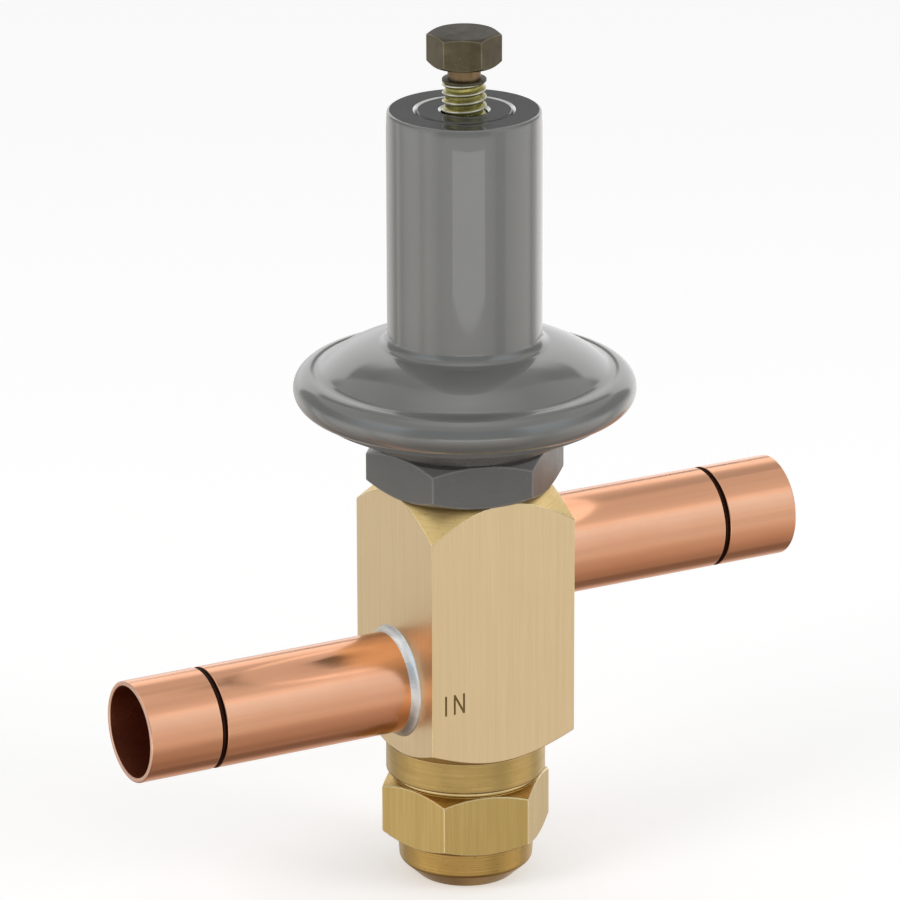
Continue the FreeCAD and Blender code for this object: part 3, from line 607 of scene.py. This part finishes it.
def soften(shape, size, material, keep, angle=14.0):
    """Bevel the sharp edges that the test keeps, two segments wide."""
    bmesh.ops.dissolve_degenerate(shape, dist=0.01, edges=shape.edges)
    sharp = [edge for edge in shape.edges
             if len(edge.link_faces) == 2 and edge.calc_face_angle() > math.radians(angle)
             and keep((edge.verts[0].co + edge.verts[1].co) / 2)]
    bmesh.ops.bevel(shape, geom=sharp, offset=size, offset_type="OFFSET", segments=2, profile=0.5,
                    affect="EDGES", material=material, clamp_overlap=False)


def paint(shape, material, test):
    """Give the faces whose centre passes the test another of the piece's materials."""
    for face in shape.faces:
        if test(face.calc_center_median()):
            face.material_index = material


def to_mesh_object(name, shape, materials, crease=32.0):
    """Turn a shape drawn in millimetres into an object in metres, smooth but for its creases."""
    bmesh.ops.scale(shape, vec=(MM, MM, MM), verts=shape.verts)
    mesh = bpy.data.meshes.new(name)
    shape.to_mesh(mesh)
    shape.free()
    for material in materials:
        mesh.materials.append(material)
    mesh.shade_smooth()
    mesh.set_sharp_from_angle(angle=math.radians(crease))
    piece = bpy.data.objects.new(name, mesh)
    bpy.context.scene.collection.objects.link(piece)
    return piece


def install(piece, node, body="root"):
    """The piece rides on its body and stands for its CAD node. Its large faces give the normals, so
    that the small bevels round off into them."""
    piece.modifiers.new("flat faces", "WEIGHTED_NORMAL").keep_sharp = True
    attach(piece, body)
    stand_for(node)


def stand_for(node):
    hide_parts(node)


def carve(piece, cutters):
    """Cut other objects out of a piece. Each cut takes the cutter's material."""
    for cutter in cutters:
        cut = piece.modifiers.new("cut", "BOOLEAN")
        cut.operation = "DIFFERENCE"
        cut.solver = "EXACT"
        cut.material_mode = "TRANSFER"
        cut.object = cutter
    bpy.context.view_layer.update()
    whole = piece.evaluated_get(bpy.context.evaluated_depsgraph_get())
    mesh = bpy.data.meshes.new_from_object(whole)
    mesh.name = piece.name
    piece.modifiers.clear()
    piece.data = mesh
    for cutter in cutters:
        bpy.data.objects.remove(cutter)


# Pieces


def stock_radius(across_flats, sides=6):
    """Radius of the turned stock, just beyond the corners of the bar that it is cut to."""
    return across_flats / 2 / math.cos(math.pi / sides) + STOCK_MARGIN


def bottom_plug():
    """The hexagon plug with its rounded boss, and inside it the piston's guide."""
    shoulder = low("plug_gasket").z
    top = high("bottom_plug").z
    end = 8.45
    boss = 12.0
    boss_top = 7.5
    guide = 6.05
    floor = 12.0
    corner = stock_radius(PLUG_FLATS)
    ring = PLUG_FLATS / 2 - 0.25
    slope = (corner - ring) * CHAMFER
    shape = lathe(outline(
        (0, 0), (end, 0, 0.2), (boss - 0.3, 3.0, 0.4), (boss, boss_top), (ring, boss_top),
        (corner, boss_top + slope), (corner, shoulder - slope), (ring, shoulder),
        (BODY_BORE, shoulder), (BODY_BORE, top), (guide, top), (guide, floor), (0, floor)),
        turn=PLUG_TURN)
    cut_flats(shape, 6, PLUG_FLATS, PLUG_TURN, 1)
    soften(shape, EDGE_BREAK, 2, lambda middle: middle.xy.length > BODY_BORE + 0.5)
    plug = to_mesh_object("plug", shape, [PLUG_TURNED, PLUG_FLAT, BRASS_EDGE])
    install(plug, "bottom_plug")


def plug_gasket():
    base = low("plug_gasket").z
    top = high("plug_gasket").z
    outer = high("plug_gasket").x
    bulge = (top - base) / 2 * 0.8
    shape = lathe(outline((BODY_BORE, base), (outer, base, bulge), (outer, top, bulge),
                          (BODY_BORE, top)))
    install(to_mesh_object("plug_sealing_ring", shape, [GASKET_COPPER]), "plug_gasket")


def level_to(shape, side, height):
    """Lay a shape drawn along Z down along X, towards the side's end, at the tube's height."""
    matrix = Matrix.Translation((0, 0, height)) @ Matrix.Rotation(math.radians(90 * side), 4, "Y")
    bmesh.ops.transform(shape, matrix=matrix, verts=shape.verts)


def stroke(start, end):
    """A round-ended engraving cutter between two points of the body's marked face."""
    run = end - start
    half = run.length / 2
    shape = lathe(outline((0, -half - MARK_STROKE), (0, -half, 90, 4), (MARK_STROKE, half),
                          (0, half, 90, 4)), 16)
    middle = (start + end) / 2
    lean = math.atan2(run.x, run.y)
    face = -BAR_WIDTH / 2 + MARK_DEPTH - MARK_STROKE
    matrix = Matrix.Translation((middle.x, face, middle.y)) @ Matrix.Rotation(lean, 4, "Y")
    bmesh.ops.transform(shape, matrix=matrix, verts=shape.verts)
    return to_mesh_object("stroke", shape, [ENGRAVED])


def port_cutter(name, side):
    """The passage behind a tube and the seat that holds the tube's end."""
    seat = BAR_WIDTH / 2 - TUBE_SEAT
    shape = lathe(outline((0, 0), (PORT_RADIUS, 0), (PORT_RADIUS, seat), (TUBE_RADIUS, seat),
                          (TUBE_RADIUS, BAR_WIDTH), (0, BAR_WIDTH)), 72)
    level_to(shape, side, middle_height(name + "_tube"))
    return to_mesh_object("port", shape, [BODY_TURNED])


def valve_body():
    """The square bar with its turned ends, its two chambers and ports, and the flow mark."""
    base = low("valve_body").z
    top = high("valve_body").z
    ledge = low("adapter_gasket").z
    seat = high("seat_ring").z
    seat_bore = 8.3
    seat_base = seat - 3.65
    neck = 13.95
    neck_top = base + 5.6
    land = 13.9
    land_slope = math.tan(math.radians(41.5))
    corner = stock_radius(BAR_WIDTH, 4)
    shape = lathe(outline(
        (BODY_BORE, base), (neck, base, 0.3), (neck, neck_top),
        (corner, neck_top + (corner - neck) * CHAMFER), (corner, top - (corner - land) * land_slope),
        (land, top), (ADAPTER_SPIGOT, top), (ADAPTER_SPIGOT, ledge), (BODY_BORE, ledge),
        (BODY_BORE, seat), (seat_bore, seat), (seat_bore, seat_base), (BODY_BORE, seat_base)),
        turn=BAR_TURN)
    # The turned neck below the bar takes the darker brass, painted shade.
    paint(shape, 3, lambda middle: middle.z < neck_top and middle.xy.length > neck - 0.5)
    cut_flats(shape, 4, BAR_WIDTH, BAR_TURN, 1)
    soften(shape, EDGE_BREAK, 2, lambda middle: middle.xy.length > BODY_BORE + 2.0)
    piece = to_mesh_object("brass_body", shape, [BODY_TURNED, BODY_BRASS, BRASS_EDGE, NECK_TURNED_SHADED])
    head = MARK_FOOT + MARK_HEIGHT
    left, right = MARK_N
    marks = [((MARK_I, MARK_FOOT), (MARK_I, head)), ((left, MARK_FOOT), (left, head)),
             ((left, head), (right, MARK_FOOT)), ((right, MARK_FOOT), (right, head))]
    cutters = [stroke(Vector(start), Vector(end)) for start, end in marks]
    cutters += [port_cutter(name, side) for name, side in TUBES]
    carve(piece, cutters)
    install(piece, "valve_body")


def solder_tube(name, side):
    """A drawn tube, dark inside, with a cut end and its rolled stop groove painted near-black as
    shade.
    """
    node = name + "_tube"
    bore = TUBE_RADIUS - TUBE_WALL
    middle = TUBE_RADIUS - TUBE_WALL / 2
    foot, reach = sorted((abs(low(node).x), abs(high(node).x)))
    stop = reach - STOP_DISTANCE
    half = STOP_WIDTH / 2
    valley = TUBE_RADIUS - STOP_DEPTH
    ridge = bore - STOP_DEPTH
    shape = lathe(outline(
        (bore, foot), (TUBE_RADIUS, foot), (TUBE_RADIUS, stop - half, 0.08),
        (valley, stop - half / 2, 0.2), (valley, stop + half / 2, 0.2),
        (TUBE_RADIUS, stop + half, 0.08), (TUBE_RADIUS, reach, 0.22), (bore, reach, 0.2),
        (bore, stop + half + STOP_DEPTH, 0.3), (ridge, stop + half / 2, 0.3),
        (ridge, stop - half / 2, 0.3), (bore, stop - half - STOP_DEPTH, 0.3)))
    paint(shape, 1, lambda point: point.xy.length < middle)
    paint(shape, 2, lambda point: point.z > reach - 0.16)
    # The groove's faces take the near-black copper, painted shade.
    paint(shape, 3, lambda point: abs(point.z - stop) < half - 0.03
          and middle - STOP_DEPTH / 2 < point.xy.length < TUBE_RADIUS - 0.03)
    level_to(shape, side, middle_height(node))
    finishes = [COPPER, COPPER_BORE, COPPER_EDGE, COPPER_GROOVE_SHADE]
    install(to_mesh_object(name + "_pipe", shape, finishes), node)


def braze_ring(name, side):
    """A frozen fillet of brazing alloy, its edge a little uneven."""
    face = BAR_WIDTH / 2
    rim = (TUBE_RADIUS + BRAZE_RISE, face + 0.05)
    toe = (TUBE_RADIUS + 0.03, face + BRAZE_RUN)
    root = TUBE_RADIUS - 0.1
    sunk = face - 0.1
    hollow = arc_by_radius(rim, toe, BRAZE_HOLLOW)
    shape = lathe(outline((root, sunk), (rim[0], sunk), rim, (*hollow, 8), (root, toe[1])))
    for vertex in shape.verts:
        angle = math.atan2(vertex.co.y, vertex.co.x)
        wobble = noise.noise(Vector((math.cos(angle) * 2, math.sin(angle) * 2, side * 4)))
        beyond = max(vertex.co.xy.length - TUBE_RADIUS, 0) / BRAZE_RISE
        vertex.co.xy *= 1 - (0.1 - 0.1 * wobble) * beyond / TUBE_RADIUS
    level_to(shape, side, middle_height(name + "_tube"))
    install(to_mesh_object(name + "_braze", shape, [BRAZE_SILVER], 60.0), name + "_braze_ring")


def hex_adapter():
    """The hexagon between body and head, with a web inside that holds the rod's guide and lets the
    pressure through its holes."""
    base = high("valve_body").z
    foot = low("hex_adapter").z
    top = low("lower_casing").z
    collar = high("hex_adapter").z
    bore = 8.5
    guide = 4.0
    web_base = foot + 5.65
    web_top = web_base + 5.0
    corner = stock_radius(ADAPTER_FLATS)
    ring = ADAPTER_FLATS / 2 - 0.2
    slope = (corner - ring) * CHAMFER
    shape = lathe(outline(
        (bore, foot), (ADAPTER_SPIGOT, foot), (ADAPTER_SPIGOT, base), (ring, base),
        (corner, base + slope), (corner, top - slope), (ring, top), (ADAPTER_COLLAR, top),
        (ADAPTER_COLLAR, collar), (bore, collar), (bore, web_top), (guide, web_top),
        (guide, web_base), (bore, web_base)), turn=ADAPTER_TURN)
    cut_flats(shape, 6, ADAPTER_FLATS, ADAPTER_TURN, 0)
    soften(shape, 0.22, 1, lambda middle: middle.xy.length > ADAPTER_SPIGOT + 0.5)
    piece = to_mesh_object("grey_hexagon", shape, [GREY_HEX, GREY_HEX_EDGE])
    hole_radius = 1.2
    hole_circle = 6.4
    holes = []
    for index in range(6):
        angle = math.tau * index / 6
        hole = lathe(outline((0, web_base - 2), (hole_radius, web_base - 2),
                             (hole_radius, web_top + 2), (0, web_top + 2)), 24)
        place = (hole_circle * math.cos(angle), hole_circle * math.sin(angle), 0)
        bmesh.ops.translate(hole, vec=place, verts=hole.verts)
        holes.append(to_mesh_object("hole", hole, [GREY_HEX]))
    carve(piece, holes)
    install(piece, "hex_adapter")


def lower_casing():
    """The dished plate below the diaphragm."""
    base = low("lower_casing").z
    clamp = high("lower_casing").z
    clamp_bore = 23.0
    bend = 15.2
    wall = 2.8
    lean = math.radians(27)
    slope = math.tan(lean)
    rise = wall / math.cos(lean)
    shape = lathe(outline(
        (ADAPTER_COLLAR, base), (bend, base, 1.2), (RIM_LIP, base + (RIM_LIP - bend) * slope),
        (RIM_LIP, RIM_LIP_TOP), (RIM_EDGE, RIM_LIP_TOP), (RIM_EDGE, clamp), (clamp_bore, clamp),
        (clamp_bore, base + rise + (clamp_bore - bend) * slope),
        (bend + (wall - rise) / slope, base + wall), (ADAPTER_COLLAR, base + wall)), DOME_STEPS)
    install(to_mesh_object("lower_cover", shape, [GREY_CASING]), "lower_casing")


def spring_housing():
    """Drawn shell: a tall cap, a full dome that flares out at its foot, and a rim rolled round the
    casing's edge."""
    top = high("spring_housing").z
    crest = RIM_HEIGHT + RIM_TUBE
    cap = 13.33
    bore = cap - 1.8
    hole_edge = 0.65
    mouth = BUSH_RADIUS + hole_edge
    fillet = 1.9
    dome = 19.0
    flare = 2.5
    shoulder_slope = 8.0
    foot_slope = 40.0
    shoulder_sine = math.sin(math.radians(shoulder_slope))
    shoulder_cosine = math.cos(math.radians(shoulder_slope))
    foot_sine = math.sin(math.radians(foot_slope))
    foot_cosine = math.cos(math.radians(foot_slope))
    flare_x = (cap + fillet * (1 - shoulder_sine) + dome * (foot_sine - shoulder_sine)
               + flare * foot_sine)
    flare_z = crest + flare
    dome_x = flare_x - (dome + flare) * foot_sine
    dome_z = flare_z - (dome + flare) * foot_cosine
    fillet_x = dome_x + (dome + fillet) * shoulder_sine
    fillet_z = dome_z + (dome + fillet) * shoulder_cosine
    clamp = crest - 1.85
    inner_foot = RIM_RADIUS - 4.58
    inner_shoulder = RIM_HEIGHT + 8.7
    shape = lathe(outline(
        (mouth, top), (cap - 0.15, top, 0.45), (cap, top - 2.6, 1.2), (cap, fillet_z),
        (fillet_x, fillet_z, 90 - shoulder_slope, 10),
        (dome_x, dome_z, shoulder_slope - foot_slope, 32), (flare_x, flare_z, foot_slope, 10),
        (RIM_RADIUS, crest), (RIM_RADIUS, RIM_HEIGHT, -180, 36),
        (RIM_LIP, RIM_HEIGHT - RIM_TUBE, 0.3), (RIM_LIP, RIM_LIP_TOP), (RIM_EDGE, RIM_LIP_TOP),
        (RIM_EDGE, clamp), (inner_foot, clamp), (bore + 0.9, inner_shoulder - 1.14),
        (bore, inner_shoulder), (bore, ROOF_BASE), (BUSH_RADIUS, ROOF_BASE),
        (BUSH_RADIUS, top - hole_edge)), DOME_STEPS)
    paint(shape, 1, lambda point: point.z > top - hole_edge - 0.05 and point.xy.length < mouth)
    # The roof's top face takes the top's enamel, darkened as painted shade.
    paint(shape, 2, lambda point: point.z > top - 0.01 and point.xy.length > mouth)
    finishes = [GREY_ENAMEL, BUSH_EDGE, GREY_TOP_SHADED]
    install(to_mesh_object("spring_cap", shape, finishes, 36.0), "spring_housing")


def threaded_bush():
    """The bush in the roof, with a chamfered mouth for the screw."""
    base = low("threaded_bush").z
    top = high("threaded_bush").z
    thread = 3.85
    flange = 10.0
    rim = 0.15
    mouth = 4.02
    edge = 0.45
    shelf = top - 1.35
    shape = lathe(outline(
        (thread, base), (flange, base, 0.4), (flange, ROOF_BASE), (BUSH_RADIUS, ROOF_BASE),
        (BUSH_RADIUS, top - rim), (BUSH_RADIUS - rim, top), (mouth + edge, top),
        (mouth, top - edge), (mouth, shelf), (thread, shelf)))
    paint(shape, 1, lambda point: mouth - 0.02 < point.xy.length < mouth + edge
          and point.z > top - edge - 0.05)
    # The bush's top takes the top's enamel, darkened as painted shade.
    install(to_mesh_object("screw_bush", shape, [GREY_TOP_SHADED, BUSH_EDGE]), "threaded_bush")


def adjusting_screw():
    """A hexagon screw with an undercut below its head. Its thread is a ridge wound round the core."""
    tip = low("adjusting_screw").z
    top = high("adjusting_screw").z
    head = top - 5.7
    undercut = head - 2.4
    collar = undercut - 0.5
    point_radius = 2.6
    neck = 2.83
    bearing = 5.4
    crown = 5.3
    corner = stock_radius(HEAD_FLATS)
    shoulder = top - (corner - crown) * math.tan(math.radians(22))
    shape = lathe(outline(
        (0, tip), (point_radius, tip, 0.3), (point_radius, tip + 1.6), (THREAD_ROOT, tip + 2.0),
        (THREAD_ROOT, collar), (THREAD_CREST, collar, 0.1), (THREAD_CREST, undercut, 0.15),
        (neck, undercut), (neck, head), (bearing, head),
        (corner, head + (corner - bearing) * CHAMFER), (corner, shoulder), (crown, top), (0, top)),
        turn=HEAD_TURN)
    paint(shape, 3, lambda point: undercut < point.z < head and point.xy.length < 3)
    # Below the collar the thread's zinc. The full ring between collar and undercut keeps the head's
    # dark zinc as painted shade under the head.
    paint(shape, 2, lambda point: point.z < collar)
    # The head's top takes the darker zinc, painted shade.
    paint(shape, 4, lambda point: point.z > shoulder)
    cut_flats(shape, 6, HEAD_FLATS, HEAD_TURN, 0)
    soften(shape, EDGE_BREAK, 1, lambda middle: head + 0.05 < middle.z < top - 0.05)
    finishes = [HEAD_ZINC, HEAD_EDGE, THREAD_ZINC, NECK_ZINC, HEAD_TOP_SHADED]
    install(to_mesh_object("screw_head", shape, finishes), "adjusting_screw", "screw")
    ridge = outline((THREAD_ROOT, 0), (THREAD_ROOT, PITCH * 0.16),
                    (THREAD_CREST, PITCH * 0.45, 0.06), (THREAD_CREST, PITCH * 0.57, 0.06),
                    (THREAD_ROOT, PITCH * 0.86), (THREAD_ROOT, PITCH))
    closing = next(edge for edge in ridge.edges if edge.calc_length() > PITCH * 0.99)
    ridge.edges.remove(closing)
    turns = math.ceil((undercut - tip) / PITCH) + 2
    steps = 72
    bmesh.ops.rotate(ridge, verts=ridge.verts, cent=(0, 0, 0),
                     matrix=Matrix.Rotation(math.radians(THREAD_TURN), 3, "Z"))
    bmesh.ops.spin(ridge, geom=ridge.verts[:] + ridge.edges[:], cent=(0, 0, 0), axis=(0, 0, 1),
                   angle=math.tau * turns, steps=steps * turns, dvec=(0, 0, PITCH / steps))
    bmesh.ops.translate(ridge, vec=(0, 0, tip - PITCH / 2), verts=ridge.verts)
    bmesh.ops.remove_doubles(ridge, verts=ridge.verts, dist=0.005)
    cut_off(ridge, (0, 0, tip + 3.2), (0, 0, -1))
    cut_off(ridge, (0, 0, collar), (0, 0, 1))
    bmesh.ops.recalc_face_normals(ridge, faces=ridge.faces)
    install(to_mesh_object("screw_thread", ridge, [THREAD_ZINC]), "adjusting_screw", "screw")


def inner_finishes():
    """The hidden CAD pieces keep their meshes and get the finish of the real ones."""
    finishes = {
        "seat_ring": STAINLESS, "valve_piston": INNER_BRASS, "disc_seal": SEAL,
        "seal_retainer": STAINLESS, "push_rod": STAINLESS, "rod_guide_bush": BRONZE,
        "adapter_gasket": GASKET_COPPER, "thrust_pad": BRONZE, "diaphragm": STAINLESS,
        "buffer_plate": ZINC_PLATE, "upper_spring_seat": ZINC_PLATE}
    for node, material in finishes.items():
        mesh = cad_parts[node].data
        mesh.materials.clear()
        mesh.materials.append(material)


def coil(name, node, still, moving):
    """The part of a spring's coil between a height that keeps still and its end on the side of the
    moving height. A coil that goes on past the still height is cut off there."""
    shape = bmesh.new()
    shape.from_mesh(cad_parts[node].data)
    bmesh.ops.scale(shape, vec=(1 / MM, 1 / MM, 1 / MM), verts=shape.verts)
    bmesh.ops.remove_doubles(shape, verts=shape.verts, dist=MERGE)
    if low(node).z < still < high(node).z:
        cut_off(shape, (0, 0, still), (0, 0, -1 if moving > still else 1))
    piece = to_mesh_object(name, shape, [SPRING_WIRE])
    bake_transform(piece)
    stand_for(node)


def springs():
    """The range spring is pressed from both ends, the return spring from its upper end only."""
    base = low("range_spring").z
    top = high("range_spring").z
    still = base + SPRING_STILL * (top - base)
    coil("range_spring_foot", "range_spring", still, base)
    coil("range_spring_coils", "range_spring", still, top)
    coil("return_coils", "return_spring", low("return_spring").z, high("return_spring").z)


# Studio


def camera():
    """The photograph's viewpoint: a long lens, a little above the valve and left of its front."""
    back = Vector((math.sin(VIEW_AZIMUTH) * math.cos(VIEW_ELEVATION),
                   -math.cos(VIEW_AZIMUTH) * math.cos(VIEW_ELEVATION), math.sin(VIEW_ELEVATION)))
    right = Vector((math.cos(VIEW_AZIMUTH), math.sin(VIEW_AZIMUTH), 0))
    up = back.cross(right)
    rolled_right = right * math.cos(VIEW_ROLL) + up * math.sin(VIEW_ROLL)
    rolled_up = up * math.cos(VIEW_ROLL) - right * math.sin(VIEW_ROLL)
    facing = Matrix((rolled_right, rolled_up, back)).transposed().to_4x4()
    place = Vector((0, 0, VIEW_HEIGHT)) + back * VIEW_DISTANCE + rolled_right * VIEW_SIDE
    lens = bpy.data.cameras.new("camera")
    lens.lens = VIEW_LENS
    lens.sensor_width = 36.0
    lens.clip_start = 0.05
    eye = bpy.data.objects.new("camera", lens)
    eye.matrix_world = Matrix.Translation(place) @ facing
    bpy.context.scene.collection.objects.link(eye)
    bpy.context.scene.camera = eye


def light_tent():
    """White all round for the eye and soft light for matt surfaces. Gloss sees a tent whose tone
    changes with height: a dark mouth in front, cooler light from a window over the front wall, the
    table's warm light from below, and dark gaps between the back wall and the roof."""
    world = bpy.data.worlds.new("light tent")
    world.use_nodes = True
    tree = world.node_tree
    background = next(node for node in tree.nodes if node.type == "BACKGROUND")
    direction = add(tree, "TexCoord").outputs["Generated"]
    ahead = Vector((math.sin(VIEW_AZIMUTH), -math.cos(VIEW_AZIMUTH), 0))

    def along(axis):
        return add(tree, "VectorMath", {"operation": "DOT_PRODUCT"},
                   {0: direction, 1: axis}).outputs["Value"]

    front = along(ahead)
    side = along(Vector((-ahead.y, ahead.x, 0)))
    height = add(tree, "SeparateXYZ", None, {0: direction}).outputs[2]
    around = maths(tree, "ARCTAN2", maths(tree, "ABSOLUTE", side), front)
    elevation = maths(tree, "ARCSINE", height)
    rise = maths(tree, "ADD", maths(tree, "DIVIDE", elevation, math.pi), 0.5)
    bearing = maths(tree, "ARCTAN2", side, front)
    turn = maths(tree, "ADD", maths(tree, "DIVIDE", bearing, math.tau), 0.5)

    def by_rise(levels):
        return stops(tree, rise, [(degrees / 180 + 0.5, level) for degrees, level in levels])

    def wall(levels):
        return by_rise([(degrees, level / TENT_TOP) for degrees, level in levels])

    def past(first, second, angle=around):
        return add(tree, "MapRange", {"interpolation_type": "SMOOTHSTEP"},
                   {"Value": angle, "From Min": math.radians(first),
                    "From Max": math.radians(second)}).outputs["Result"]

    tone = blended(tree, past(32, 50), wall(TENT_MOUTH), wall(TENT_FRONT))
    tone = blended(tree, past(60, 105), tone, wall(TENT_SIDE))
    corner = blended(tree, past(-10, 0, elevation), past(122, 140), past(140, 146))
    tone = blended(tree, corner, tone, wall(TENT_QUARTER))
    tone = blended(tree, past(150, 168), tone, wall(TENT_BACK))
    tone = times(tree, tone, blended(tree, past(175, 177.5), WHITE, by_rise(TENT_SLOT)))
    folds = stops(tree, turn, [(degrees / 360 + 0.5, level) for degrees, level in TENT_FOLDS])
    tone = times(tree, tone, blended(tree, past(-8, 8, elevation), folds, WHITE))
    gloss = times(tree, tone, by_rise(TABLE_WARMTH))
    gloss = times(tree, gloss, blended(tree, past(75, 100), by_rise(WINDOW_COOLNESS), WHITE))
    gloss = times(tree, gloss, (TENT_TOP, TENT_TOP, TENT_TOP))
    soft = between(tree, height, 0.95, 0.4)
    path = add(tree, "LightPath").outputs
    seen = blended(tree, path["Is Glossy Ray"], soft, gloss)
    plain = maths(tree, "MAXIMUM", path["Is Camera Ray"], path["Is Transmission Ray"])
    tree.links.new(blended(tree, plain, seen, WHITE), background.inputs["Color"])
    background.inputs["Strength"].default_value = 1.0
    bpy.context.scene.world = world


def pale_floor():
    """A wide white floor that keeps the valve's soft shadow and melts into the background."""
    shape = bmesh.new()
    bmesh.ops.create_grid(shape, x_segments=1, y_segments=1, size=6.0 / MM)
    material = bpy.data.materials.new("pale floor")
    material.use_nodes = True
    tree = material.node_tree
    tree.nodes.clear()
    lift = share(tree, add(tree, "LightPath").outputs["Is Camera Ray"], 0.4)
    matt = add(tree, "BsdfDiffuse", None, {"Color": (0.82, 0.82, 0.82)})
    glow = add(tree, "Emission", None, {"Color": WHITE, "Strength": lift})
    total = add(tree, "AddShader", None, {0: matt.outputs[0], 1: glow.outputs[0]})
    result = add(tree, "OutputMaterial", None, {0: total.outputs[0]})
    result.is_active_output = True
    floor = to_mesh_object("floor", shape, [material])
    floor.visible_glossy = False


def lamp(name, shape, size, power, matrix, gloss_only):
    """A flat lamp, either soft light for matt surfaces or a shape that only gloss sees."""
    light = bpy.data.lights.new(name, "AREA")
    light.shape = shape
    light.size, light.size_y = size
    light.energy = power
    holder = bpy.data.objects.new(name, light)
    holder.matrix_world = matrix
    holder.visible_camera = False
    holder.visible_diffuse = not gloss_only
    holder.visible_glossy = gloss_only
    bpy.context.scene.collection.objects.link(holder)


def panel(name, azimuth, distance, height, size, power, gloss_only=False):
    """A rectangular lamp that faces the valve's axis."""
    turn = VIEW_AZIMUTH + math.radians(azimuth)
    place = Vector((math.sin(turn) * distance, -math.cos(turn) * distance, height))
    aim = Vector((0, 0, VIEW_HEIGHT)) - place
    facing = aim.to_track_quat("-Z", "Y").to_matrix().to_4x4()
    lamp(name, "RECTANGLE", size, power, Matrix.Translation(place) @ facing, gloss_only)


def head_bounce():
    """The light that the table throws up at the head, as the bright metal below it reflects it."""
    width = BOUNCE_WIDTH * high("spring_housing").x * MM
    place = Matrix.Translation((0, 0, (low("lower_casing").z - BOUNCE_GAP) * MM))
    lamp("head bounce", "DISK", (width, width), BOUNCE_POWER, place, True)


def studio():
    light_tent()
    pale_floor()
    camera()
    panel("key softbox", azimuth=-50, distance=0.9, height=0.75, size=(0.5, 0.5), power=2.5)
    panel("side softbox", azimuth=65, distance=0.9, height=0.45, size=(0.35, 0.6), power=2.0)
    panel("cap highlight", azimuth=6, distance=0.25, height=0.047, size=(0.216, 0.040),
          power=0.0165, gloss_only=True)
    head_bounce()
    bpy.context.scene.view_settings.view_transform = "Standard"


studio()
bottom_plug()
plug_gasket()
valve_body()
for tube_name, tube_side in TUBES:
    solder_tube(tube_name, tube_side)
    braze_ring(tube_name, tube_side)
hex_adapter()
lower_casing()
spring_housing()
threaded_bush()
adjusting_screw()
inner_finishes()
springs()
